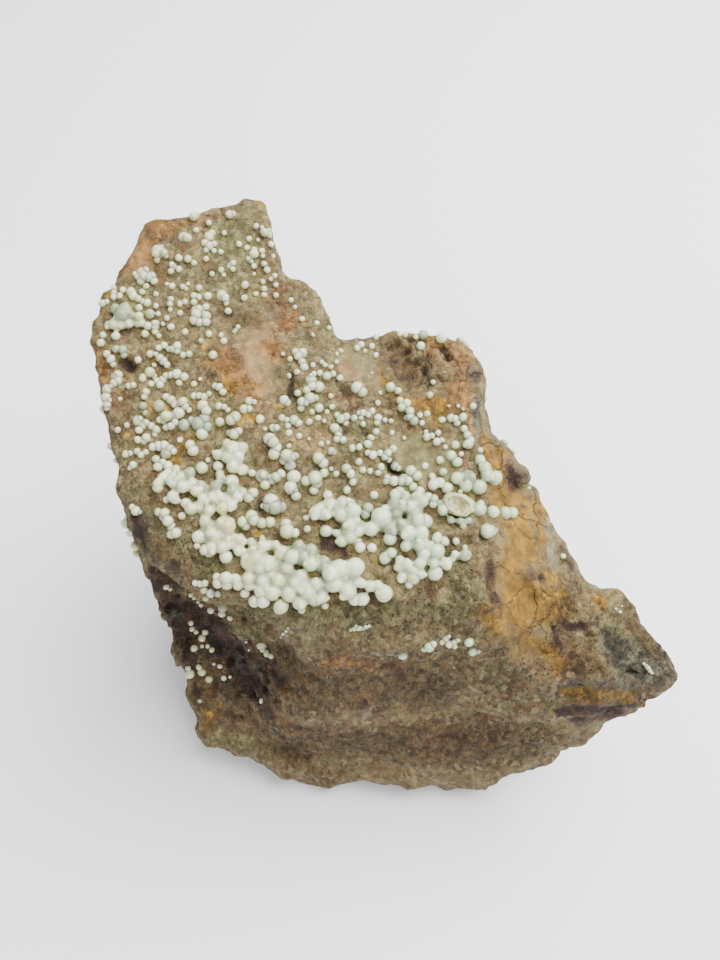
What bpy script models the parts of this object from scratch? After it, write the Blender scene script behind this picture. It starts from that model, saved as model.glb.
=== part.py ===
"""Hand specimen: limonite-stained matrix rock with crusts of fluorapatite spherules.

A broken block of iron-stained host rock stands on a flat rest facet. Its
upper face slopes gently towards the viewer and is the mineralised face: small
botryoidal spherules of fluorapatite are sprinkled over it, and where they
crowd together they have grown into knobbly crusts. The block has a tall horn
at the back left, a shoulder at the back right, an earthy flank on the right
and a long toe that reaches out at the lower right. Under the left part of the
brow lies a shaded recess.

Frame: X to the right, Y away from the viewer, Z up, origin on the rest plane
under the middle of the specimen. Driving dimensions are in millimetres.
"""

import random

import bmesh
import bpy
from mathutils import Vector, noise
from mathutils.bvhtree import BVHTree

MM = 0.001

# Rock: corner points of the blocks that make it up (mm)
BODY = [
    (-8.9, -14.2, 31.6), (-5.0, -14.3, 31.4), (1.5, -14.3, 31.6), (9.8, -14.2, 31.8),
    (-12.6, -12.0, 35.2), (-5.0, -12.0, 35.4), (1.4, -12.0, 35.4), (9.0, -11.6, 35.4),
    (9.4, -6.4, 37.7), (9.4, -1.9, 39.4), (9.3, 4.6, 42.0), (6.0, 9.6, 43.8),
    (-3.5, 9.8, 44.0), (-8.0, 10.0, 44.0), (-26.2, 2.4, 41.0), (-25.7, -1.0, 39.8),
    (-24.9, -3.6, 38.6), (-24.0, -5.5, 37.6), (-20.6, -8.8, 36.6), (-17.0, -10.9, 35.8),
    (-24.4, -5.6, 30.0), (-24.2, -7.4, 25.5), (-23.8, -9.4, 21.0), (-22.0, -10.6, 15.5),
    (-21.4, -13.6, 9.6), (-20.9, -16.9, 6.4), (-18.6, -18.9, 5.2), (-16.0, -19.8, 4.4),
    (-11.5, -20.1, 4.2), (-4.0, -20.5, 4.0), (4.8, -21.4, 3.8), (9.4, -21.7, 3.4),
    (13.6, -21.6, 3.8), (15.8, -18.6, 8.0), (-17.0, -13.0, -4.0), (-11.0, -17.2, -4.0),
    (2.0, -19.4, -4.0), (10.0, -18.8, -4.0), (10.8, -6.0, -4.0), (-17.6, 1.0, -4.0),
    (-13.0, 6.5, -4.0), (0.0, 6.0, -4.0), (7.0, 1.0, -4.0), (-21.8, 5.0, 8.0),
    (-24.4, 5.0, 26.0), (-16.0, 14.0, 24.0), (-1.0, 10.4, 24.0), (9.0, 5.4, 26.0),
    (3.0, 9.0, 10.0), (12.6, 0.0, 8.0),
]
HORN = [
    (-12.1, 25.9, 50.3), (-10.9, 24.6, 49.8), (-11.0, 22.7, 49.0), (-10.7, 18.2, 47.3),
    (-9.9, 16.6, 46.7), (-13.6, 25.2, 50.0), (-18.9, 24.2, 49.6), (-23.3, 22.8, 49.0),
    (-24.4, 20.4, 48.1), (-26.6, 17.7, 47.0), (-28.5, 14.6, 45.8), (-29.1, 11.9, 44.8),
    (-28.5, 7.7, 43.2), (-27.8, 5.0, 42.0), (-26.6, 1.7, 40.7), (-11.0, 4.0, 41.6),
    (-14.0, 23.4, 43.0), (-21.8, 21.6, 40.0), (-27.2, 12.0, 37.0), (-11.4, 17.6, 38.0),
    (-13.0, 17.4, 27.0), (-21.0, 16.2, 25.0), (-24.6, 8.0, 27.0), (-17.0, 9.0, 9.0),
    (-11.0, 9.6, 12.0),
]
LEDGE = [
    (-10.5, 17.3, 46.8), (-7.4, 17.4, 47.0), (-6.5, 15.6, 46.2), (-5.5, 14.2, 45.7),
    (-4.8, 12.7, 45.1), (-3.8, 11.6, 44.6), (-10.0, 4.0, 41.5), (-3.5, 4.0, 41.5),
    (-8.6, 15.8, 38.0), (-4.6, 12.4, 37.0), (-10.4, 13.0, 22.0), (-5.0, 9.6, 20.0),
]
SHOULDER = [
    (-3.8, 11.5, 44.6), (-1.3, 12.0, 44.7), (0.6, 12.7, 45.1), (3.3, 12.9, 45.2),
    (6.3, 12.6, 45.1), (8.8, 10.9, 44.4), (10.4, 8.4, 43.4), (10.0, 6.4, 42.6),
    (9.5, 4.6, 41.9), (-4.0, 4.0, 41.6), (10.2, 6.4, 37.0), (8.0, 11.0, 37.0),
    (-1.0, 12.4, 38.0), (10.6, 5.2, 30.0), (4.0, 11.4, 29.0), (8.6, 3.4, 16.0),
    (1.0, 9.0, 16.0),
]
FLANK = [
    (8.6, 3.4, 41.2), (8.9, -2.0, 39.0), (9.2, -6.4, 37.2), (9.6, -11.4, 34.8),
    (10.6, -14.4, 31.6), (9.4, 4.6, 40.8), (11.4, 3.0, 37.6), (14.3, 1.1, 35.4),
    (14.2, -0.5, 34.3), (15.0, -2.0, 32.8), (16.5, -2.4, 31.8), (18.0, -3.4, 30.5),
    (19.9, -3.9, 29.3), (21.2, -5.9, 27.8), (17.4, -10.0, 30.0), (16.2, -14.8, 26.4),
    (13.0, 1.6, 22.0), (17.2, -3.0, 19.0), (18.8, -9.0, 16.0), (12.4, -2.0, 8.0),
    (14.0, -9.0, 5.0), (13.0, -16.0, 3.0), (6.0, -4.0, 10.0),
]
TOE = [
    (21.4, -6.1, 27.6), (25.1, -6.4, 27.2), (27.0, -9.6, 26.0), (28.2, -11.6, 25.2),
    (29.3, -13.4, 24.7), (30.2, -16.1, 24.0), (29.5, -16.4, 20.0), (27.0, -17.5, 16.6),
    (24.9, -18.3, 12.6), (22.3, -19.1, 9.2), (19.9, -19.9, 6.2), (16.3, -20.9, 3.6),
    (14.0, -16.6, 25.4), (14.0, -11.0, 28.0), (20.0, -15.4, 23.0), (12.4, -14.0, 3.6),
    (7.0, -16.0, 24.0), (5.0, -20.6, 4.0), (10.0, -21.2, 1.5), (10.0, -15.6, 27.0),
    (17.0, -8.0, 10.0), (21.0, -8.4, 17.0), (25.4, -11.5, 19.0),
]
RECESS_CUT = [
    (-23.0, -4.4, 33.0), (-16.6, -7.4, 33.4), (-10.0, -10.6, 32.0), (-8.4, -13.4, 23.0),
    (-21.0, -8.4, 14.5), (-15.4, -12.4, 14.0), (-9.4, -15.6, 16.5), (-25.6, -22.0, 33.0),
    (-13.0, -30.0, 30.0), (-24.6, -28.0, -4.0), (-13.0, -32.0, -6.0),
]
BROW_CUT = [
    (-7.4, -14.0, 28.6), (12.6, -13.8, 28.2), (-6.0, -20.4, 8.0), (12.0, -21.2, 7.0),
    (-8.4, -17.0, 29.6), (14.6, -17.4, 29.0), (-7.0, -26.0, 7.0), (13.0, -27.0, 6.0),
]
HOLLOW_CUT = [
    (1.0, 6.6, 43.0), (4.4, 6.8, 43.0), (1.2, 9.4, 44.0), (4.2, 9.8, 44.2), (2.8, 8.2, 42.2),
    (0.4, 5.8, 47.0), (5.2, 6.0, 47.0), (0.6, 10.4, 48.0), (5.0, 10.8, 48.0),
]
GRAIN = 0.9
LOW_SIDES = 34.0
ROCK_TRIANGLES = 3300

# Apatite crusts: chains of lumps over the upper face, as X and Y (mm)
CRUSTS = {
    "front_crust": [
        [(-21.6, -1.7), (-20.0, -1.9), (-18.3, -2.2), (-16.0, -2.3), (-13.6, -2.7)],
        [(-18.8, -3.2), (-17.0, -3.7), (-15.2, -3.6), (-13.6, -3.9)],
        [(-17.4, -4.6), (-16.5, -5.8), (-17.0, -7.1), (-15.6, -7.6), (-14.0, -7.2)],
        [(-16.2, -5.4), (-14.8, -5.6), (-13.6, -6.4)],
        [(-13.4, -7.6), (-10.0, -7.4), (-7.2, -8.0), (-3.2, -9.2)],
        [(-12.9, -8.9), (-9.5, -8.8), (-6.0, -9.4), (-3.2, -10.3)],
        [(-12.8, -10.2), (-9.2, -10.1), (-5.6, -10.8), (-3.0, -11.4), (-0.5, -11.1)],
        [(-12.2, -11.4), (-9.4, -11.5), (-6.2, -12.1)],
        [(-15.9, -9.8), (-14.4, -10.2), (-12.8, -10.6)],
    ],
    "middle_crust": [
        [(-7.0, -4.7), (-5.0, -3.9), (-3.0, -4.2), (-2.4, -5.2)],
        [(-6.8, -5.8), (-4.8, -5.3), (-2.6, -5.6), (0.0, -5.4)],
        [(-5.4, -6.7), (-3.4, -6.5), (-2.2, -6.0)],
        [(0.4, -3.1), (1.4, -4.0), (2.6, -3.8), (2.3, -5.4), (1.2, -5.8)],
        [(0.1, -4.6), (0.0, -6.4), (-0.3, -7.9)],
        [(2.0, -6.0), (2.8, -7.3), (4.2, -8.2), (3.6, -9.4), (2.2, -9.8), (1.0, -10.0)],
        [(1.6, -7.4), (2.2, -8.6), (2.4, -9.6)],
        [(4.2, -9.4), (5.4, -9.0), (6.6, -8.1)],
    ],
    "right_crust": [
        [(5.0, -3.8), (6.6, -4.0), (8.1, -4.2), (9.6, -4.2), (11.2, -3.8)],
        [(5.2, -4.5), (6.6, -4.7)],
        [(5.6, -5.6), (7.4, -6.0), (9.0, -6.0)],
        [(6.6, -4.2), (6.2, -5.6)],
    ],
    "side_crust": [
        [(4.2, -2.0), (6.0, -1.8), (7.8, -2.2), (9.4, -1.2), (9.0, -0.3), (8.4, 0.5), (8.2, 1.4)],
        [(6.0, -1.2), (7.2, -1.4)],
    ],
    "left_crust": [
        [(-16.0, -0.1), (-15.0, 1.2), (-13.6, 0.7), (-14.6, -0.4), (-13.1, -0.8)],
        [(-15.6, 0.6), (-14.0, 0.2)],
    ],
    "upper_crust": [
        [(-26.6, 13.2), (-25.4, 13.8), (-24.6, 12.6), (-25.6, 11.6), (-26.2, 12.4)],
        [(-25.4, 13.8), (-24.4, 14.8)],
        [(-24.6, 12.8), (-23.6, 12.0)],
    ],
}
LUMP_RADIUS = {"front_crust": 0.96, "middle_crust": 0.92, "right_crust": 0.74, "side_crust": 0.70,
               "left_crust": 0.88, "upper_crust": 0.86}
CRUST_TRIANGLES = {"front_crust": 1300, "middle_crust": 900, "right_crust": 300, "side_crust": 250,
                   "left_crust": 240, "upper_crust": 240}
LUMP_SPACING = 0.95
LUMP_JITTER = 0.22
CRUST_CELL = 0.27
CRUST_GAP = 0.3
TALL = 90.0
FUSING_TRIES = 8
MERGE_DISTANCES = (0.02, 0.01, 0.005, 0.002, 0.0005)

# Single spherules grown on the rock: x, y, z near its face and radius (mm)
SPHERULES = [
    (-20.6, -4.9, 38.3, 0.50), (-19.9, -6.0, 37.7, 0.52), (-9.2, -6.1, 38.1, 0.62),
    (-12.4, -5.4, 38.6, 0.60), (-10.6, -4.2, 39.3, 0.72), (-8.8, -2.9, 39.6, 0.62),
    (-10.2, -1.9, 39.8, 0.55), (-11.5, -1.7, 39.7, 0.64), (-10.8, 1.4, 41.4, 0.62),
    (-18.4, 1.1, 40.8, 0.52), (-14.5, 3.2, 41.4, 0.65), (-17.5, 2.6, 41.5, 0.52),
    (-6.9, -1.9, 40.1, 0.75), (-6.2, -0.4, 40.8, 0.60), (-9.2, -0.1, 40.8, 0.62),
    (-2.6, 6.1, 43.2, 0.60), (-2.6, -7.4, 37.3, 0.54), (2.5, -1.4, 40.1, 0.52),
    (6.3, 0.1, 40.4, 0.56), (0.6, 6.5, 42.7, 0.50), (2.2, 4.3, 42.1, 0.56),
    (-3.6, -1.2, 40.3, 0.48), (0.2, 0.4, 40.6, 0.55), (-4.7, 2.6, 41.4, 0.52),
    (-7.0, 6.7, 43.5, 0.56), (-7.9, 9.5, 44.1, 0.56), (-19.7, 20.6, 48.5, 0.56),
    (-22.1, 19.0, 48.1, 0.76), (-18.8, 22.7, 49.3, 0.50), (-15.3, 23.2, 49.1, 0.48),
    (-17.3, 20.5, 48.3, 0.58), (-15.1, 18.2, 46.9, 0.52), (-15.8, 15.0, 46.2, 0.56),
    (-21.0, 12.9, 45.3, 0.52), (-18.1, 13.4, 45.6, 0.74), (-19.8, 10.2, 44.6, 0.58),
    (-21.8, 9.9, 44.4, 0.54), (-24.8, 9.4, 44.5, 0.70), (-27.3, 10.4, 44.3, 0.54),
    (-23.5, 17.0, 47.2, 0.66), (-26.5, 6.2, 42.7, 0.54), (-22.5, 7.7, 43.5, 0.52),
    (-19.9, 7.3, 43.3, 0.58), (-23.4, 3.2, 41.8, 0.54), (-20.7, 3.6, 42.0, 0.56),
    (-17.3, 4.6, 42.3, 0.56), (-11.8, 21.4, 48.4, 0.46), (-12.8, 19.2, 47.7, 0.46),
    (3.4, -14.6, 31.3, 0.50), (5.5, -14.1, 31.5, 0.50), (7.7, -14.4, 30.3, 0.50),
    (-21.3, -7.3, 17.2, 0.58), (-22.4, -9.8, 11.8, 0.62), (-20.0, -10.7, 12.0, 0.54),
    (-12.7, -11.2, 21.1, 0.58), (5.6, 11.2, 44.4, 0.58), (-2.6, 10.2, 44.0, 0.54),
]

# Base colour and roughness of each mineral
ROCK_FINISH = ((0.235, 0.150, 0.078, 1.0), 0.88)
APATITE_FINISH = ((0.690, 0.760, 0.655, 1.0), 0.42)


def hull(name, points):
    """A closed convex block through the given corner points."""
    bm = bmesh.new()
    for point in points:
        bm.verts.new(Vector(point) * MM)
    result = bmesh.ops.convex_hull(bm, input=bm.verts)
    unused = {v for v in result["geom_interior"] if isinstance(v, bmesh.types.BMVert)}
    bmesh.ops.delete(bm, geom=list(unused), context="VERTS")
    bmesh.ops.recalc_face_normals(bm, faces=bm.faces)
    mesh = bpy.data.meshes.new(name)
    bm.to_mesh(mesh)
    bm.free()
    block = bpy.data.objects.new(name, mesh)
    bpy.context.scene.collection.objects.link(block)
    return block


def bake(obj, set_up):
    """Add modifiers with set_up and make their result the object's own mesh."""
    set_up(obj.modifiers)
    bpy.context.view_layer.update()
    graph = bpy.context.evaluated_depsgraph_get()
    mesh = bpy.data.meshes.new_from_object(obj.evaluated_get(graph), depsgraph=graph)
    obj.modifiers.clear()
    obj.data = mesh
    return obj


def combine(target, tool, operation):
    """Join a block to the target, or cut it away, and drop the block."""
    def boolean(modifiers):
        step = modifiers.new(operation.lower(), "BOOLEAN")
        step.operation = operation
        step.solver = "EXACT"
        step.object = tool

    tool.hide_render = True
    tool.display_type = "WIRE"
    bake(target, boolean)
    bpy.data.objects.remove(tool)
    return target


def grain_remesh(obj, size):
    """Turn a joined block into one even skin of the given cell size (mm)."""
    def remesh(modifiers):
        step = modifiers.new("grain", "REMESH")
        step.mode = "VOXEL"
        step.voxel_size = size * MM
    return bake(obj, remesh)


def reduce_to(obj, triangles):
    """Bring a mesh down to about this many triangles."""
    obj.data.update()
    count = sum(len(face.vertices) - 2 for face in obj.data.polygons)
    if count <= triangles:
        return obj

    def decimate(modifiers):
        step = modifiers.new("facets", "DECIMATE")
        step.ratio = triangles / count
        step.use_collapse_triangulate = True
    return bake(obj, decimate)


def weather(obj):
    """Give the broken faces their waves, chipped facets and grains."""
    mesh = obj.data
    normals = [vertex.normal.copy() for vertex in mesh.vertices]
    for vertex, normal in zip(mesh.vertices, normals):
        place = vertex.co / MM
        swell = noise.noise(place * 0.10 + Vector((3.1, 7.7, 1.9)))
        low = min(max((LOW_SIDES - place.z) / LOW_SIDES, 0.0), 1.0)
        wave = noise.noise(place * 0.27 + Vector((9.2, 0.4, 5.5)))
        cell = noise.voronoi(place * 0.22 + Vector((1.7, 2.3, 8.1)))[0]
        chip = min(cell[1] - cell[0], 0.35) / 0.35 - 0.6
        fine = noise.noise(place * 0.75)
        vertex.co += normal * (0.15 + (0.55 + 1.5 * low) * swell + (0.42 + 0.8 * low) * wave
                              + (0.40 + 0.5 * low) * chip + 0.20 * fine) * MM
    mesh.update()


def flat_base(obj):
    """Cut the rest facet at Z = 0 and close it with one flat face."""
    bm = bmesh.new()
    bm.from_mesh(obj.data)
    everything = list(bm.verts) + list(bm.edges) + list(bm.faces)
    bmesh.ops.bisect_plane(bm, geom=everything, dist=1e-7, plane_co=(0, 0, 0),
                           plane_no=(0, 0, 1), clear_inner=True)
    rim = [edge for edge in bm.edges if edge.is_boundary]
    bmesh.ops.holes_fill(bm, edges=rim, sides=0)
    bmesh.ops.recalc_face_normals(bm, faces=bm.faces)
    bm.to_mesh(obj.data)
    bm.free()


def rock():
    """The matrix rock with its brow, recess, horn, shoulder, flank and toe."""
    body = hull("matrix", BODY)
    combine(body, hull("recess_cut", RECESS_CUT), "DIFFERENCE")
    for name, points in (("horn", HORN), ("ledge", LEDGE), ("shoulder", SHOULDER),
                         ("flank", FLANK), ("toe", TOE)):
        combine(body, hull(name, points), "UNION")
    combine(body, hull("brow_cut", BROW_CUT), "DIFFERENCE")
    combine(body, hull("hollow_cut", HOLLOW_CUT), "DIFFERENCE")
    grain_remesh(body, GRAIN)
    weather(body)
    reduce_to(body, ROCK_TRIANGLES)
    flat_base(body)
    keep_largest(body)
    return body


def surface_of(obj):
    """A search tree over the faces of an object."""
    bm = bmesh.new()
    bm.from_mesh(obj.data)
    tree = BVHTree.FromBMesh(bm)
    bm.free()
    return tree


def seat(tree, point, lift):
    """The place lift (mm) above the rock's face nearest to a point (mm)."""
    place, normal, _, _ = tree.find_nearest(Vector(point) * MM)
    return place + normal * lift * MM


def drop(tree, x, y, lift):
    """The place lift (mm) above the rock's upper face at X and Y (mm)."""
    place, normal, _, _ = tree.ray_cast(Vector((x, y, TALL)) * MM, Vector((0.0, 0.0, -1.0)))
    return place + normal * lift * MM


def ball(bm, centre, radius, detail):
    """Add one round lump to a mesh being built."""
    made = bmesh.ops.create_icosphere(bm, subdivisions=detail, radius=radius * MM)
    for vertex in made["verts"]:
        vertex.co += centre


def new_object(name, bm):
    """Make an object of a mesh that has been built."""
    mesh = bpy.data.meshes.new(name)
    bm.to_mesh(mesh)
    bm.free()
    obj = bpy.data.objects.new(name, mesh)
    bpy.context.scene.collection.objects.link(obj)
    return obj


def closed(obj):
    """Whether every edge of the object has a face on both its sides."""
    bm = bmesh.new()
    bm.from_mesh(obj.data)
    answer = all(len(edge.link_faces) == 2 for edge in bm.edges)
    bm.free()
    return answer


def grow_spherules(body):
    """Fuse the single spherules to the rock, each about half sunk in it."""
    tree = surface_of(body)
    draw = random.Random(11)
    for index, (x, y, z, radius) in enumerate(SPHERULES):
        before = body.data.copy()
        for attempt in range(FUSING_TRIES):
            bm = bmesh.new()
            ball(bm, Vector((0.0, 0.0, 0.0)), radius, 2 if radius > 0.59 else 1)
            turn = Vector((draw.random(), draw.random(), draw.random())).normalized()
            spin = turn.rotation_difference(Vector((0.0, 0.0, 1.0)))
            centre = seat(tree, (x, y, z), (0.25 + 0.03 * attempt) * radius)
            for vertex in bm.verts:
                vertex.co = spin @ vertex.co + centre
            combine(body, new_object("spherule_%02d" % index, bm), "UNION")
            if closed(body):
                break
            body.data = before.copy()


def clear_of(obj, tree, gap):
    """Lift every point of a crust that is closer to the rock than the gap (mm)."""
    for vertex in obj.data.vertices:
        place, normal, _, _ = tree.find_nearest(vertex.co)
        height = (vertex.co - place).dot(normal) / MM
        if height < gap:
            vertex.co = place + normal * gap * MM
    obj.data.update()


def keep_largest(obj):
    """Drop the loose crumbs of an object and keep its largest closed piece."""
    bm = bmesh.new()
    bm.from_mesh(obj.data)
    left = set(bm.verts)
    pieces = []
    while left:
        stack = [left.pop()]
        piece = set(stack)
        while stack:
            for edge in stack.pop().link_edges:
                for vertex in edge.verts:
                    if vertex in left:
                        left.discard(vertex)
                        piece.add(vertex)
                        stack.append(vertex)
        pieces.append(piece)
    pieces.sort(key=len)
    for piece in pieces[:-1]:
        bmesh.ops.delete(bm, geom=list(piece), context="VERTS")
    bm.to_mesh(obj.data)
    bm.free()


def grow_crust(name, chains, face, tree):
    """One knobbly crust: lumps along its chains, grown together, cut clear of the rock."""
    draw = random.Random(len(name) * 101 + len(chains))
    radius = LUMP_RADIUS[name]
    bm = bmesh.new()
    for chain in chains:
        for start, end in zip(chain, chain[1:]):
            start, end = Vector(start), Vector(end)
            steps = max(1, round((end - start).length / LUMP_SPACING))
            for step in range(steps + 1):
                place = start.lerp(end, step / steps)
                x = place.x + draw.uniform(-LUMP_JITTER, LUMP_JITTER)
                y = place.y + draw.uniform(-LUMP_JITTER, LUMP_JITTER)
                size = radius * draw.uniform(0.84, 1.12)
                ball(bm, drop(face, x, y, 0.40 * size), size, 3)
    crust = new_object(name, bm)
    grain_remesh(crust, CRUST_CELL)
    keep_largest(crust)
    clear_of(crust, tree, CRUST_GAP)
    reduce_to(crust, CRUST_TRIANGLES[name])
    clear_of(crust, tree, CRUST_GAP)
    return crust


def tidy(obj):
    """Merge stray double corners as far as the piece stays closed, and turn all faces out."""
    before = obj.data.copy()
    for merge in MERGE_DISTANCES:
        bm = bmesh.new()
        bm.from_mesh(before)
        bmesh.ops.remove_doubles(bm, verts=bm.verts, dist=merge * MM)
        bmesh.ops.dissolve_degenerate(bm, edges=bm.edges, dist=0.5 * merge * MM)
        bmesh.ops.recalc_face_normals(bm, faces=bm.faces)
        bm.to_mesh(obj.data)
        bm.free()
        if closed(obj):
            return


def paint(obj, finish):
    """Give an object its own plain material."""
    colour, roughness = finish
    material = bpy.data.materials.new(obj.name)
    material.use_nodes = True
    shader = material.node_tree.nodes["Principled BSDF"]
    shader.inputs["Base Color"].default_value = colour
    shader.inputs["Roughness"].default_value = roughness
    obj.data.materials.clear()
    obj.data.materials.append(material)


def recentre(pieces):
    """Move all pieces so that the origin is under the middle of the specimen."""
    corners = [vertex.co for piece in pieces for vertex in piece.data.vertices]
    low = Vector([min(corner[axis] for corner in corners) for axis in range(3)])
    high = Vector([max(corner[axis] for corner in corners) for axis in range(3)])
    shift = Vector((-(low.x + high.x) / 2, -(low.y + high.y) / 2, -low.z))
    for piece in pieces:
        for vertex in piece.data.vertices:
            vertex.co += shift
        piece.data.update()
    return shift


def main():
    for old in list(bpy.data.objects):
        bpy.data.objects.remove(old)
    body = rock()
    face = surface_of(body)
    grow_spherules(body)
    grown = surface_of(body)
    crusts = [grow_crust(name, chains, face, grown) for name, chains in CRUSTS.items()]
    for piece in [body] + crusts:
        tidy(piece)
    paint(body, ROCK_FINISH)
    for crust in crusts:
        paint(crust, APATITE_FINISH)
    return recentre([body] + crusts)


main()
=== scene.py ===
"""Fluorapatite specimen: waxy pale spherules grown over a lump of iron-stained rock.

Shapes are worked out in millimetres, in the part's own frame, and become metres when a mesh is
finished. Small things are placed by where they stand in the picture: a sight line from the camera
finds the rock or the crust that carries them. Lengths written "px" are in that 720 x 960 picture.
"""

import logging
import math
from dataclasses import dataclass, field
from enum import Enum
from itertools import combinations
from typing import Iterable, Iterator, Optional, Sequence

import bmesh
import bpy
import numpy as np
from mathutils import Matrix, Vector, noise
from mathutils.bvhtree import BVHTree


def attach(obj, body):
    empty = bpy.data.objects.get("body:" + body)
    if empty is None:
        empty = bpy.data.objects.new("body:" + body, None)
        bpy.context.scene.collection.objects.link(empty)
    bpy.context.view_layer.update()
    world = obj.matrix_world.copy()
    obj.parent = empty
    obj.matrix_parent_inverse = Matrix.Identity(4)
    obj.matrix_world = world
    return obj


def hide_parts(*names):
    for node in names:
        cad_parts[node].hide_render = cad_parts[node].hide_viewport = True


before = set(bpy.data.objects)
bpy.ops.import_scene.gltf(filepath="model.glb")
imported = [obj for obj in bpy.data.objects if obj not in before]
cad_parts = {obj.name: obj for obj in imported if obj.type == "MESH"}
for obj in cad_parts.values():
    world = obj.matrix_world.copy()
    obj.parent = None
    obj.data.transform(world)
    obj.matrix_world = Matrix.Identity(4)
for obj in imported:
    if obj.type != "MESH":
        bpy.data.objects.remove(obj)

LOG = logging.getLogger("specimen")
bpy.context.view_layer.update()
MM = 0.001
SEED = 20417
SIGHT_REACH = 400.0

Colour = tuple[float, float, float]
Socket = bpy.types.NodeSocket


class BeadKind(Enum):
    """How a spherule looks."""

    PALE = "pale"
    GREY = "grey"
    YOLK = "yolk"


class StainAndPaintedShade(Enum):
    """Colours for areas of the rock: stain colours, and painted shade in holes, in the shaded recess, on the
    left of the front and between beads.
    """

    OCHRE = "ochre"
    SIENNA = "sienna"
    RUST = "rust"
    TAN = "tan"
    OLIVE = "olive"
    PLUM = "plum"
    PALE = "pale"
    PAINTED_HOLE_SHADE = "painted_hole_shade"
    GOLD = "gold"
    SLATE = "slate"
    UMBER = "umber"


class Texture(Enum):
    """How the rock's surface is broken."""

    ROUGH = "rough"
    PITTED = "pitted"
    SMOOTH = "smooth"
    FLAT = "flat"
    CRACKED = "cracked"


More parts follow.
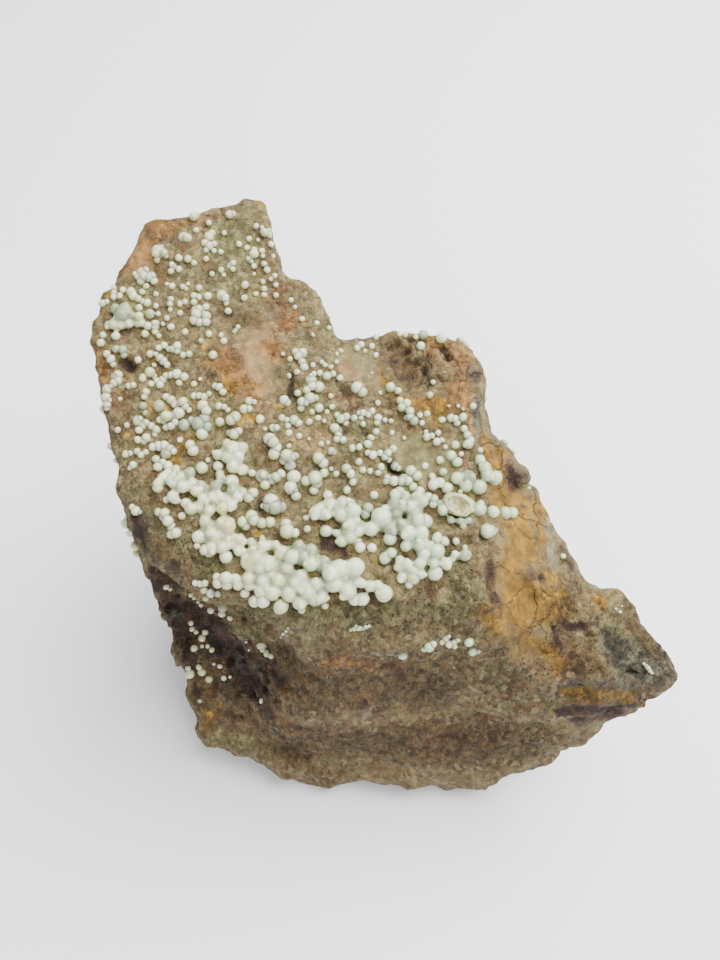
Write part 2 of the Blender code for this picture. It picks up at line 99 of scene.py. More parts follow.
# Capsules on the rock: (first u, first v, last u, last v, half width), all in px.
STAIN_AND_SHADE_CAPSULES: dict[StainAndPaintedShade, Sequence[tuple[float, ...]]] = {
    # Umber at (134, 540) darkens the left of the front as painted shade, and at (330, 540) it paints shadow
    # between the beads of the main mass.
    StainAndPaintedShade.UMBER: (
        (400, 352, 412, 378, 16), (512, 468, 520, 476, 12), (560, 640, 590, 672, 12),
        (380, 352, 386, 366, 8), (300, 690, 430, 690, 34), (300, 742, 520, 744, 30),
        (190, 694, 290, 748, 20), (148, 232, 152, 238, 8), (206, 640, 230, 690, 22),
        (134, 540, 180, 562, 16), (524, 574, 542, 580, 8), (514, 640, 530, 652, 9),
        (486, 560, 494, 606, 9), (630, 605, 640, 640, 10), (440, 500, 470, 535, 9),
        (258, 498, 262, 508, 8), (570, 600, 560, 625, 9), (476, 392, 480, 438, 5),
        (130, 500, 136, 520, 7), (220, 310, 262, 322, 7), (330, 540, 345, 556, 9),
    ),
    StainAndPaintedShade.TAN: (
        (265, 335, 246, 378, 19), (284, 326, 292, 340, 12), (300, 436, 322, 446, 11),
        (345, 366, 358, 374, 9), (338, 400, 352, 402, 10), (252, 384, 262, 402, 9),
        (440, 350, 462, 376, 14), (240, 350, 262, 392, 12), (562, 640, 590, 664, 11),
        (520, 660, 552, 664, 7), (590, 596, 622, 598, 8),
    ),
    StainAndPaintedShade.OLIVE: (
        (236, 232, 224, 282, 22), (262, 208, 270, 214, 12), (186, 272, 190, 272, 8),
        (108, 350, 110, 350, 6), (160, 552, 214, 562, 20), (245, 613, 300, 606, 11),
        (300, 614, 480, 612, 14), (222, 741, 255, 741, 13), (412, 452, 436, 470, 20),
        (355, 430, 358, 432, 10), (246, 462, 252, 462, 9), (304, 392, 312, 402, 8),
        (236, 630, 262, 642, 9), (176, 452, 160, 440, 10), (292, 336, 300, 342, 8),
        (130, 500, 160, 540, 15), (606, 634, 640, 656, 16), (598, 598, 626, 612, 12),
        (452, 560, 476, 600, 16), (546, 530, 556, 560, 8), (244, 690, 250, 700, 8),
    ),
    StainAndPaintedShade.RUST: (
        (214, 217, 198, 222, 6), (178, 242, 182, 250, 6), (160, 268, 160, 276, 7),
        (202, 262, 206, 270, 6), (285, 288, 272, 296, 7), (99, 362, 101, 378, 9), (140, 362, 134, 374, 5),
        (225, 352, 240, 376, 13), (487, 557, 490, 605, 5), (461, 456, 466, 464, 6),
        (400, 352, 410, 372, 10), (150, 232, 156, 240, 5), (275, 300, 290, 330, 12),
        (335, 655, 400, 668, 10), (120, 394, 122, 410, 8), (200, 690, 215, 700, 8),
        (560, 644, 566, 660, 8), (270, 700, 300, 740, 9), (430, 735, 520, 740, 10),
        (570, 702, 630, 703, 5),
    ),
    StainAndPaintedShade.OCHRE: (
        (170, 218, 160, 222, 6), (404, 400, 440, 412, 9), (481, 440, 500, 480, 10),
        (503, 484, 530, 556, 23), (508, 560, 524, 640, 20), (500, 615, 552, 660, 12),
        (536, 585, 560, 606, 15), (528, 640, 556, 664, 9), (514, 500, 540, 510, 10),
        (498, 452, 511, 464, 8), (566, 693, 628, 700, 9), (599, 601, 600, 604, 7),
        (459, 697, 460, 698, 5), (159.6, 372, 160, 373, 3.5), (222, 384, 232, 392, 8),
        (246, 384, 250, 386, 5), (252, 199, 256, 201, 5), (186, 440, 176, 458, 8),
        (298, 680, 306, 690, 6), (212, 716, 206, 722, 6), (380, 372, 388, 385, 6),
        (536, 506, 546, 540, 7), (480, 612, 500, 626, 9), (546, 572, 566, 600, 10),
        (520, 584, 548, 620, 14),
    ),
    StainAndPaintedShade.SIENNA: (
        (160, 224, 141, 256, 16), (118, 276, 146, 244, 11), (178, 224, 194, 222, 6),
        (428, 340, 462, 362, 15), (462, 376, 452, 404, 12), (396, 398, 430, 406, 10),
        (470, 410, 474, 436, 5), (96, 350, 104, 380, 7), (262, 349, 280, 356, 8),
        (218, 362, 250, 392, 14), (100, 300, 104, 320, 5), (300, 312, 292, 330, 6),
        (486, 436, 500, 470, 8), (330, 660, 372, 668, 8), (276, 680, 300, 700, 9),
        (598, 600, 602, 606, 8),
    ),
    StainAndPaintedShade.PLUM: (
        # The first plum capsule paints shadow between the beads of the main mass; those in the recess under
        # the lip are purple rock darkened further as painted shade, and the one at (150, 570) darkens the
        # left of the front as painted shade.
        (328, 540, 346, 553, 7), (164, 580, 182, 640, 19), (192, 604, 256, 672, 27),
        (222, 646, 262, 690, 22), (139, 522, 140, 532, 10), (560, 712, 634, 706, 7),
        (580, 722, 618, 714, 9), (556, 626, 596, 622, 5), (126, 362, 130, 368, 7),
        (184, 640, 190, 670, 12), (270, 660, 278, 680, 9), (260, 700, 268, 716, 9),
        (554, 628, 598, 622, 6), (562, 684, 598, 684, 6), (515, 467, 521, 477, 13),
        (557, 636, 563, 682, 3), (489, 552, 497, 604, 3), (532, 570, 544, 580, 5),
        (566, 550, 574, 576, 6), (150, 570, 156, 590, 9), (500, 535, 504, 540, 3),
    ),
    StainAndPaintedShade.PALE: (
        (549, 526, 556, 568, 7), (612, 606, 620, 610, 4), (366, 712, 368, 714, 5),
        (474, 732, 476, 734, 4), (281, 636, 289, 629, 4), (357, 622, 369, 622, 4),
        (474, 400, 477, 440, 3.5), (395, 650, 402, 656, 4), (330, 730, 338, 734, 4),
    ),
    StainAndPaintedShade.SLATE: (
        (469, 371, 474, 380, 7), (476, 398, 479, 440, 4), (475, 448, 478, 456, 4),
        (470, 352, 476, 362, 4), (612, 652, 655, 674, 20), (560, 684, 640, 686, 6),
        (172, 612, 180, 618, 6),
    ),
    StainAndPaintedShade.GOLD: (
        (150, 409, 151, 409, 4), (165, 411, 166, 412, 5), (240, 421, 254, 418, 5),
        (222, 377, 226, 378, 4), (254, 530, 256, 531, 4), (122, 434, 124, 435, 4),
        (201, 345, 203, 348, 4), (94, 352, 97, 354, 5), (112, 296, 113, 296, 4), (276, 408, 282, 406, 4),
        (208, 712, 210, 716, 4),
    ),
    # Near-black spots in the rock's holes and pits: painted shade.
    StainAndPaintedShade.PAINTED_HOLE_SHADE: (
        (287, 374, 287, 397, 3.5), (293, 388, 298, 398, 3.5), (391, 465, 395, 473, 5),
        (526, 506, 528, 508, 3), (160, 240, 165, 242, 3.5), (203, 217, 204, 218, 3),
        (205, 272, 207, 273, 3), (426, 372, 427, 378, 3.5), (437, 347, 446, 353, 3),
        (126, 364, 130, 367, 3.5), (400, 349, 402, 354, 3.5), (412, 360, 417, 380, 3),
        (340, 388, 341, 390, 3), (382, 366, 386, 376, 3.5), (363, 431, 365, 433, 3),
        (478, 532, 484, 538, 3), (190, 600, 198, 604, 4), (236, 655, 246, 662, 7),
        (212, 640, 222, 652, 7), (198, 690, 200, 694, 5), (612, 646, 616, 664, 5),
        (632, 668, 640, 676, 5), (652, 650, 662, 660, 6),
    ),
}

# Capsules for how the rock's surface is broken, as above.
TEXTURES: dict[Texture, Sequence[tuple[float, ...]]] = {
    Texture.ROUGH: (
        (280, 665, 520, 676, 58), (300, 742, 520, 744, 40), (150, 545, 200, 568, 34),
        (195, 620, 250, 680, 40), (560, 640, 650, 660, 36), (560, 704, 640, 704, 26),
        (250, 615, 480, 615, 20), (450, 560, 470, 600, 20),
    ),
    Texture.PITTED: (
        (400, 350, 412, 380, 22), (425, 350, 428, 384, 9), (126, 362, 131, 368, 9),
        (200, 600, 250, 690, 42), (440, 345, 450, 354, 8), (285, 380, 296, 398, 8),
        (390, 464, 396, 474, 8), (165, 590, 180, 640, 20), (340, 430, 364, 434, 12),
        (470, 450, 474, 462, 8), (610, 640, 650, 670, 18),
    ),
    Texture.SMOOTH: (
        (254, 335, 264, 384, 14), (505, 480, 545, 560, 28), (505, 560, 530, 640, 26),
        (345, 362, 372, 372, 18), (410, 452, 440, 470, 22), (150, 226, 142, 256, 14),
    ),
    Texture.FLAT: (
        (320, 690, 500, 690, 62), (290, 690, 300, 720, 40), (330, 740, 480, 740, 40),
    ),
    Texture.CRACKED: (
        (548, 590, 560, 606, 16), (500, 470, 540, 560, 34), (510, 560, 530, 640, 32),
        (430, 350, 462, 380, 24),
    ),
}

# Low swellings and hollows of the rock: a capsule in px and its height in mm.
LUMPS: Sequence[tuple[float, ...]] = (
    (512, 468, 522, 476, 11, 0.9), (446, 533, 474, 530, 9, 0.5), (572, 644, 590, 668, 14, 0.4),
    (592, 630, 598, 662, 7, 0.6), (552, 681, 640, 671, 6, 0.4), (614, 650, 645, 670, 22, -0.7),
    (556, 627, 596, 624, 4, -0.35), (246, 506, 260, 510, 7, -0.6), (340, 430, 362, 432, 10, -0.45),
    (126, 363, 130, 367, 6, -0.5), (391, 463, 395, 474, 5, -0.9), (286, 374, 288, 398, 5, -0.5),
    (402, 354, 412, 378, 14, -0.6), (488, 556, 492, 604, 6, -0.35), (200, 612, 250, 680, 24, -0.6),
    (566, 685, 600, 685, 4, -0.3), (594, 594, 606, 604, 10, 0.35), (562, 554, 568, 566, 6, 0.5),
    (524, 572, 542, 580, 7, -0.3), (440, 347, 446, 353, 4, -0.8), (426, 370, 428, 380, 4, -0.7),
    (476, 528, 490, 545, 5, -0.4),
)

# Spherules listed from the picture, (u, v, radius) in px, from the top left down to the front.
BEADS: dict[BeadKind, Sequence[tuple[float, float, float]]] = {
    BeadKind.PALE: (
        # Horn
        (196, 216, 4.3), (209, 223, 3.7), (196, 230, 3.5), (233, 214, 3.6), (224, 233, 3.2),
        (212, 233, 4), (209, 237, 5.5), (205, 243, 5), (209, 246, 5.5), (214, 244, 4), (206, 250, 3.5),
        (214, 251, 3), (239, 244, 3.7), (221, 252, 3.6), (206, 259, 3.5), (256, 226, 3.4),
        (262, 228, 2.6), (269, 231, 3.3), (269, 235, 3.4), (249, 239, 3.6), (258, 240, 2.4),
        (271, 244, 3.8), (247, 248, 3.4), (254, 250, 3.8), (262, 251, 3.6), (263, 256, 3),
        (273, 256, 2.6), (277, 252, 2.2), (249, 259, 3.6), (251, 261, 2.8), (254, 266, 3.3),
        (254, 274, 2.5), (264, 264, 3.8), (267, 270, 4), (233, 263, 3.6), (233, 269, 3.4),
        (221, 270, 3.8), (224, 275, 3), (212, 274, 3.4), (275, 276, 3.4), (271, 279, 3.2),
        (263, 282, 3.2), (276, 285, 3.3), (264, 289, 3.4), (264, 295, 3.6), (256, 294, 3.2),
        (276, 295, 3.3), (245, 285, 4.6), (244, 298, 4), (225, 298, 5), (226, 303, 3.5), (228, 311, 3.8),
        (291, 300, 3.3), (295, 307, 2.4), (302, 319, 3.6), (179, 258, 4.4), (188, 259, 4.2),
        (194, 263, 3.6), (172, 265, 4), (171, 271, 4), (179, 269, 4), (175, 267, 2.6), (167, 284, 2.8),
        (172, 286, 4), (183, 287, 3.8), (186, 289, 2.8), (188, 284, 2.6), (199, 288, 3.8),
        (208, 296, 4.4), (194, 296, 4), (199, 297, 3.6), (194, 302, 4), (156, 294, 3.5), (171, 299, 3.6),
        (170, 304, 3.4), (170, 310, 2.8), (180, 304, 3.8), (185, 302, 3.6), (180, 313, 3.6),
        (156, 306, 3.2), (158, 314, 3.2), (167, 318, 3.4), (163, 324, 2.4), (206, 307, 4),
        (199, 309, 4.5), (196, 314, 6), (194, 320, 6), (199, 322, 5.5), (206, 316, 5.5), (206, 322, 5),
        (171, 327, 4), (238, 327, 3), (236, 330, 2.4), (234, 332, 2),
        # Upper left mass
        (146, 270, 4), (135, 274, 3.5), (138, 277, 4), (144, 276, 6), (148, 277, 6), (152, 276, 5),
        (154, 281, 4.5), (141, 281, 5), (146, 286, 4), (142, 292, 4), (114, 293, 3.5), (114, 297, 4),
        (123, 290, 4), (120, 296, 4), (131, 292, 5.5), (133, 296, 5.5), (138, 299, 4.5), (103, 303, 4),
        (101, 304, 3), (107, 302, 3.5), (147, 303, 5), (143, 302, 4), (139, 308, 4.5), (139, 316, 5),
        (114, 324, 6), (109, 325, 5), (121, 324, 6.5), (128, 323, 6), (142, 323, 5), (148, 326, 5),
        (138, 324, 4.5), (155, 324, 5), (116, 336, 5), (103, 335, 4), (101, 343, 5), (145, 334, 4.6),
        (155, 327, 5), (155, 332, 4), (159, 336, 3), (185, 332, 3.8), (209, 334, 4.4), (221, 335, 3),
        (224, 341, 4), (107, 354, 4.5), (111, 359, 5), (113, 364, 4), (138, 360, 4.4), (159, 348, 4),
        (164, 345, 4.2), (150, 354, 4), (156, 354, 3.5), (160, 358, 5), (163, 361, 4.8), (167, 365, 4),
        (169, 349, 3.4), (173, 349, 4), (177, 346, 5), (177, 351, 4), (183, 355, 4), (189, 354, 4.2),
        (154, 365, 2.8), (149, 370, 2.5), (143, 378, 5), (213, 355, 5), (118, 375, 5.5), (114, 383, 4.5),
        (111, 386, 3), (118, 381, 4.5), (129, 386, 3.6), (133, 385, 3.6), (154, 376, 3.4),
        (151, 384, 3.6), (157, 381, 3.6), (160, 385, 4), (163, 380, 4), (166, 376, 4), (171, 375, 4.4),
        (177, 374, 5.5), (184, 377, 5), (179, 383, 3.8), (194, 384, 3.6), (200, 379, 2.6), (146, 392, 4),
        (144, 397, 3.6), (106, 397, 5), (107, 404, 4.5), (109, 400, 3.5), (107, 408, 3), (120, 399, 2.2),
        (194, 396, 4), (199, 396, 3.6), (204, 397, 4), (209, 394, 3.2), (166, 397, 4), (171, 400, 5),
        (175, 404, 4.5), (183, 402, 5.5), (185, 406, 4.5), (189, 410, 3.4), (179, 413, 6), (174, 415, 4),
        (175, 422, 4), (171, 426, 4.5), (166, 427, 4), (160, 420, 4), (206, 411, 5.5), (202, 434, 6),
        (220, 422, 5), (127, 425, 3), (118, 430, 3.5), (140, 419, 3.5), (139, 430, 4), (151, 426, 4),
        (156, 430, 4.5), (155, 434, 3), (138, 440, 4), (146, 438, 5), (144, 441, 4), (219, 387, 4.5),
        (223, 392, 4), (215, 386, 3.5), (249, 401, 4.6), (254, 402, 3), (244, 409, 5), (249, 409, 4),
        (219, 406, 4.2), (224, 407, 3.4), (228, 410, 2.8), (235, 417, 6), (231, 420, 5.5),
        (260, 419, 4.5), (234, 434, 6), (239, 431, 4), (230, 433, 4), (180, 440, 3.2), (193, 451, 5.8),
        (153, 447, 4.5), (159, 446, 5.5), (164, 446, 5.5), (170, 449, 5), (173, 451, 4.5), (126, 454, 4),
        (130, 453, 3.4), (137, 451, 3.5), (141, 455, 4), (146, 452, 3.4), (156, 459, 4.5),
        # Left of the front
        (133, 465, 4), (130, 468, 3), (158, 467, 5), (163, 463, 4.5), (168, 466, 5), (176, 469, 4.5),
        (168, 472, 4), (163, 477, 4.5), (158, 484, 6), (158, 488, 5.5), (173, 481, 7), (181, 476, 5),
        (183, 487, 6.5), (193, 484, 6), (196, 491, 6), (173, 497, 6.5), (166, 500, 3.5), (176, 500, 4.5),
        (186, 503, 5.5), (191, 509, 6.5), (204, 500, 6), (199, 507, 6), (209, 511, 6), (212, 497, 6),
        (219, 497, 6), (231, 506, 6), (205, 521, 6.5), (243, 492, 5), (253, 493, 5.5), (238, 497, 6),
        (249, 498, 6), (232, 481, 7), (158, 512, 4.5), (164, 517, 5), (168, 521, 6), (182, 516, 4.5),
        (136, 511, 5), (171, 535, 4.5), (176, 533, 5.5), (198, 537, 6.5), (197, 546, 3), (211, 533, 6.5),
        (215, 538, 6.5), (222, 523, 6.5), (229, 524, 7), (223, 533, 6), (205, 550, 6), (212, 548, 7),
        (209, 553, 5), (222, 548, 6.5), (226, 557, 7), (228, 543, 7), (238, 551, 5), (244, 551, 3),
        (251, 542, 4.5), (262, 538, 3.5), (263, 546, 6), (253, 550, 5), (269, 545, 5), (243, 522, 6),
        (246, 526, 5), (254, 520, 6.5), (262, 523, 6), (270, 522, 6), (263, 506, 3), (287, 531, 8),
        (295, 533, 5), (307, 529, 4), (227, 444, 5.5), (233, 448, 7), (242, 448, 6.5), (218, 455, 6),
        (228, 457, 7), (238, 457, 7), (218, 466, 5.5), (233, 467, 6.5), (243, 470, 6), (252, 473, 4),
        (202, 468, 6.5), (208, 460, 3), (220, 474, 5),
        # Middle of the top
        (317, 323, 3), (329, 328, 3.2), (313, 335, 2.6), (357, 348, 4), (361, 345, 4), (365, 351, 2.8),
        (372, 346, 3.8), (376, 355, 3.2), (372, 373, 1.6), (341, 351, 3), (337, 354, 2.8), (337, 362, 3),
        (295, 352, 4.5), (298, 356, 5), (302, 362, 5), (304, 367, 5), (297, 372, 3.5), (290, 359, 3.5),
        (283, 354, 2.6), (289, 376, 2.8), (313, 365, 3.2), (322, 362, 3), (325, 365, 3), (331, 367, 3),
        (311, 377, 4), (314, 374, 3.6), (320, 373, 4), (327, 376, 5.5), (333, 374, 4), (340, 378, 4),
        (312, 386, 5), (319, 387, 6), (307, 390, 4.5), (298, 393, 3.5), (284, 400, 5), (287, 403, 4),
        (310, 398, 6), (302, 402, 5.5), (315, 398, 4), (306, 402, 4.5), (319, 408, 5), (327, 412, 3.2),
        (312, 412, 3.4), (331, 396, 2.8), (332, 407, 3.6), (362, 392, 5.6), (378, 403, 3.6),
        (380, 393, 2.6), (398, 391, 4), (430, 395, 3.8), (433, 382, 3), (400, 401, 4.5), (402, 407, 5),
        (407, 403, 4.5), (410, 411, 5), (410, 417, 5), (407, 418, 3.5), (420, 415, 3), (427, 414, 3.8),
        (422, 423, 3), (442, 420, 4), (451, 418, 4.4), (455, 419, 4), (463, 417, 4.4), (457, 423, 3.6),
        (473, 406, 3.5), (449, 406, 2), (458, 406, 2), (463, 409, 2), (464, 429, 3.8), (467, 435, 4.2),
        (468, 444, 5.5), (471, 440, 4), (427, 437, 4.4), (432, 436, 3.6), (438, 433, 3.4),
        (426, 432, 2.6), (437, 442, 4.2), (442, 440, 2.6), (445, 447, 2.4), (455, 445, 4.8),
        (480, 450, 3.6), (480, 460, 5.8), (485, 468, 6.5), (489, 476, 6.5), (457, 462, 5.5),
        (461, 454, 3), (455, 456, 2.6), (440, 460, 4.2), (425, 466, 3.8), (443, 472, 4.5),
        (432, 476, 3.8), (417, 476, 5.5), (404, 479, 5.5), (387, 478, 4), (404, 438, 2.6), (392, 433, 3),
        (363, 413, 4), (372, 411, 3.6), (359, 413, 3), (368, 415, 3.4), (378, 418, 4.4), (377, 423, 3.6),
        (385, 420, 3), (391, 421, 2.8), (337, 415, 3.6), (341, 419, 5), (346, 417, 4.5), (346, 423, 3.4),
        (354, 418, 3.6), (361, 418, 2.8), (363, 424, 3.2), (309, 422, 3.8), (318, 418, 3.2),
        (324, 421, 2.6), (338, 430, 4), (338, 435, 4), (337, 439, 4), (343, 440, 4), (376, 432, 3.8),
        (371, 438, 4), (368, 444, 4.5), (321, 444, 3.2), (328, 443, 2.8), (331, 451, 4.6),
        (333, 452, 3.6), (352, 448, 4), (359, 447, 4), (368, 453, 3.6), (373, 455, 5), (380, 453, 3.2),
        (385, 457, 4), (388, 453, 4.4), (393, 449, 4.6), (389, 460, 3), (381, 467, 3.8), (395, 465, 4),
        (398, 468, 3.5), (359, 462, 4), (363, 470, 3.8), (370, 471, 3.4), (378, 473, 3.6),
        (323, 463, 5.4), (324, 473, 5), (336, 474, 3.6), (331, 469, 2.4), (351, 474, 4.6), (353, 482, 4),
        (347, 490, 4.5), (374, 495, 4.5), (386, 481, 4), (395, 466, 4.5), (294, 420, 5.5),
        (298, 423, 4.4), (282, 418, 4), (287, 420, 3.6), (288, 426, 3.6), (289, 433, 3.6),
        (299, 436, 3.4), (309, 439, 2), (273, 428, 4.4), (276, 428, 4), (265, 429, 2.6), (273, 442, 6),
        (276, 448, 6), (274, 454, 6.5), (289, 446, 3), (284, 460, 5), (292, 457, 5.5), (290, 465, 6),
        (295, 456, 4.5), (281, 474, 5), (263, 475, 5), (271, 478, 4.4), (265, 485, 5.5), (272, 480, 5),
        (294, 477, 7), (294, 490, 4.5), (296, 496, 5.5), (306, 481, 5.5), (315, 478, 8), (317, 483, 6),
        (314, 490, 5), (328, 495, 5), (331, 451, 4),
        # Rim of the shoulder
        (376, 337, 3.8), (400, 334, 3.5), (405, 335, 3.5), (416, 337, 3), (421, 346, 5.3),
        # Main mass
        (261, 568, 7.5), (270, 573, 6), (278, 580, 7.5), (256, 558, 8), (268, 564, 9), (276, 545, 5),
        (282, 553, 8), (292, 557, 8), (287, 568, 7), (311, 564, 8), (301, 576, 7), (295, 583, 7),
        (248, 578, 6.5), (249, 586, 5), (245, 593, 5), (262, 591, 7.5), (263, 581, 6.5), (272, 593, 8),
        (255, 601, 7), (263, 601, 7.5), (281, 606, 8.5), (289, 594, 8), (300, 603, 7.5), (302, 610, 4),
        (308, 590, 9), (316, 584, 7), (322, 597, 7), (315, 598, 8), (325, 606, 4), (334, 584, 8.5),
        (339, 569, 10), (331, 573, 9), (355, 567, 10), (344, 576, 5), (348, 591, 9), (361, 583, 5),
        (370, 586, 6), (378, 585, 5), (384, 593, 9), (363, 599, 7), (354, 600, 6), (217, 577, 4.5),
        (218, 583, 5.5), (226, 578, 7), (227, 584, 6), (235, 578, 5), (238, 585, 5.5), (195, 583, 3.5),
        (200, 584, 3.5), (205, 583, 4), (204, 590, 4), (211, 593, 4.5), (206, 598, 3.5), (218, 594, 3.5),
        # Second crust
        (316, 513, 7.5), (325, 514, 7), (306, 518, 3.5), (321, 508, 6), (330, 504, 6.5), (336, 506, 6),
        (343, 503, 7.5), (350, 503, 5.5), (341, 515, 8), (353, 511, 8), (350, 517, 7), (350, 526, 8),
        (355, 521, 6), (326, 531, 6.5), (336, 533, 4), (348, 531, 6.5), (358, 531, 6.5), (350, 537, 7),
        (342, 541, 6.5), (371, 529, 8), (381, 517, 10), (360, 547, 6), (372, 548, 5), (390, 539, 7),
        (391, 553, 6), (385, 558, 6.5), (403, 506, 6), (411, 507, 7), (414, 511, 6), (418, 520, 8),
        (425, 521, 8), (413, 517, 6), (408, 533, 8), (421, 533, 8), (406, 546, 6), (420, 545, 7.5),
        (424, 554, 6), (428, 546, 6), (437, 551, 8), (437, 538, 6), (444, 541, 5.5), (456, 541, 4.5),
        (465, 547, 3), (455, 554, 4), (453, 559, 3.5), (446, 564, 7), (434, 564, 5.5), (435, 573, 8),
        (400, 560, 5.5), (398, 567, 5), (407, 564, 6), (420, 563, 6), (414, 571, 5.5), (402, 578, 6),
        (421, 574, 5.5), (409, 584, 5), (395, 495, 6), (400, 492, 6), (405, 495, 5), (394, 481, 5.5),
        (402, 481, 5.5), (408, 481, 5), (413, 487, 5), (420, 491, 5), (418, 496, 6), (422, 501, 7),
        (428, 497, 4.5), (434, 499, 5), (433, 504, 4.5), (433, 485, 5.5), (440, 483, 5.5),
        (447, 488, 6.5), (457, 478, 6.5), (466, 486, 7), (479, 487, 8.5), (460, 492, 3), (487, 475, 7),
        (495, 478, 8), (449, 503, 7), (443, 510, 6.5), (479, 509, 7.5), (493, 512, 7), (505, 513, 7),
        (512, 513, 6.5), (487, 531, 8), (490, 531, 6.5), (493, 531, 4.6), (495, 530, 3), (496, 530, 2),
        # Recess
        (166, 587, 3.2), (170, 589, 2.4), (191, 595, 2.4), (194, 598, 1.8), (198, 602, 2),
        (201, 605, 2.4), (211, 610, 4), (222, 614, 4), (230, 618, 3), (191, 623, 3), (192, 629, 2.8),
        (196, 632, 2.6), (202, 638, 4.2), (205, 632, 3.4), (202, 646, 2.2), (208, 646, 2.8),
        (212, 650, 3), (194, 648, 3.8), (188, 668, 3), (190, 674, 5), (199, 667, 3.4), (202, 672, 4.6),
        (209, 679, 4), (214, 664, 1.8), (220, 666, 2.6), (224, 678, 3), (230, 677, 1.6), (246, 642, 1.6),
        (249, 650, 1.2), (263, 649, 4), (267, 653, 4), (271, 656, 3), (262, 701, 3.2),
        # Front face
        (424, 649, 3), (429, 647, 5.5), (433, 644, 4), (442, 642, 3), (446, 638, 3.5), (449, 636, 2.5),
        (449, 644, 4), (454, 642, 3.5), (455, 646, 3), (458, 640, 2.5), (469, 642, 5), (473, 651, 5),
        (478, 651, 3), (351, 630, 2), (354, 629, 2.6), (357, 629, 2.2), (360, 628, 2.8), (363, 628, 2.5),
        (366, 627, 2.6), (369, 626, 1.8), (356, 626, 1.5), (281, 637, 1.4), (283, 634, 1.8),
        (286, 631, 1.7), (288, 628, 1.2), (644, 664, 2), (646, 666, 2.4), (648, 668, 2.6),
        (650, 671, 2.2), (652, 673, 1.8), (616, 609, 1.3), (622, 606, 1.2), (132, 507, 3), (139, 512, 3),
        # Flank and toe
        (563, 556, 3.2), (529, 488, 1.8), (620, 612, 2.2),
    ),
    BeadKind.GREY: (
        (125, 309, 7), (123, 314, 8), (116, 309, 6), (129, 314, 6), (119, 320, 7), (150, 314, 6),
        (116, 349, 4.5), (123, 350, 5), (124, 355, 4), (115, 377, 5), (159, 406, 6), (143, 406, 4),
        (145, 413, 3), (184, 425, 6), (204, 419, 6), (199, 424, 7.5), (207, 427, 6), (191, 421, 4.5),
        (166, 454, 6), (423, 335, 6), (414, 421, 5), (190, 473, 6), (201, 486, 6), (216, 486, 6),
        (232, 491, 6), (275, 507, 8), (269, 507, 6), (281, 507, 6), (290, 463, 6), (299, 546, 6),
        (311, 550, 7), (303, 557, 7), (323, 562, 6.5), (368, 508, 6), (365, 513, 6), (394, 504, 7),
        (397, 514, 6), (391, 529, 8), (403, 526, 7), (468, 478, 8), (451, 520, 4.5), (460, 521, 4),
        (468, 521, 4.5), (463, 526, 4), (223, 607, 5.5), (213, 593, 3), (218, 594, 3), (200, 701, 2.4),
        (465, 555, 6.5), (201, 341, 3.5), (164, 421, 4),
    ),
    BeadKind.YOLK: (
        (187, 238, 5.5), (156, 254, 4.5), (164, 253, 4.5), (157, 260, 4), (162, 247, 2.8), (166, 256, 3),
        (114, 288, 3.5), (301, 408, 4), (146, 423, 4), (143, 426, 3.5), (222, 509, 6), (226, 502, 6),
        (228, 527, 8), (239, 541, 7), (249, 562, 9), (413, 578, 7.5), (178, 404, 3.5),
    ),
}

# Spherules fused into the rock: x, y, z and radius in mm.
FUSED: Sequence[tuple[float, float, float, float]] = (
    (-21.2, -6.6, 38.3, 0.50), (-20.5, -7.7, 37.7, 0.52), (-9.8, -7.8, 38.1, 0.62),
    (-13.0, -7.1, 38.6, 0.60), (-11.2, -5.9, 39.3, 0.72), (-9.4, -4.6, 39.6, 0.62),
    (-10.8, -3.6, 39.8, 0.55), (-12.1, -3.4, 39.7, 0.64), (-11.4, -0.3, 41.4, 0.62),
    (-19.0, -0.6, 40.8, 0.52), (-15.1, 1.5, 41.4, 0.65), (-18.1, 0.9, 41.5, 0.52),
    (-7.5, -3.6, 40.1, 0.75), (-6.8, -2.1, 40.8, 0.60), (-9.8, -1.8, 40.8, 0.62), (-3.2, 4.4, 43.2, 0.60),
    (-3.2, -9.1, 37.3, 0.54), (1.9, -3.1, 40.1, 0.52), (5.7, -1.6, 40.4, 0.56), (0.0, 4.8, 42.7, 0.50),
    (1.6, 2.6, 42.1, 0.56), (-4.2, -2.9, 40.3, 0.48), (-0.4, -1.3, 40.6, 0.55), (-5.3, 0.9, 41.4, 0.52),
    (-7.6, 5.0, 43.5, 0.56), (-8.5, 7.8, 44.1, 0.56), (-20.3, 18.9, 48.5, 0.56),
    (-22.7, 17.3, 48.1, 0.76), (-19.4, 21.0, 49.3, 0.50), (-15.9, 21.5, 49.1, 0.48),
    (-17.9, 18.8, 48.3, 0.58), (-15.7, 16.5, 46.9, 0.52), (-16.4, 13.3, 46.2, 0.56),
    (-21.6, 11.2, 45.3, 0.52), (-18.7, 11.7, 45.6, 0.74), (-20.4, 8.5, 44.6, 0.58),
    (-22.4, 8.2, 44.4, 0.54), (-25.4, 7.7, 44.5, 0.70), (-27.9, 8.7, 44.3, 0.54),
    (-24.1, 15.3, 47.2, 0.66), (-27.1, 4.5, 42.7, 0.54), (-23.1, 6.0, 43.5, 0.52),
    (-20.5, 5.6, 43.3, 0.58), (-24.0, 1.5, 41.8, 0.54), (-21.3, 1.9, 42.0, 0.56),
    (-17.9, 2.9, 42.3, 0.56), (-12.4, 19.7, 48.4, 0.46), (-13.4, 17.5, 47.7, 0.46),
    (-21.9, -9.0, 17.2, 0.58), (-23.0, -11.5, 11.8, 0.62), (-20.6, -12.4, 12.0, 0.54),
    (-13.3, -12.9, 21.1, 0.58), (5.0, 9.5, 44.4, 0.58), (-3.2, 8.5, 44.0, 0.54),
)

CRUST_NODES = ("front_crust", "middle_crust", "right_crust", "side_crust", "left_crust", "upper_crust")


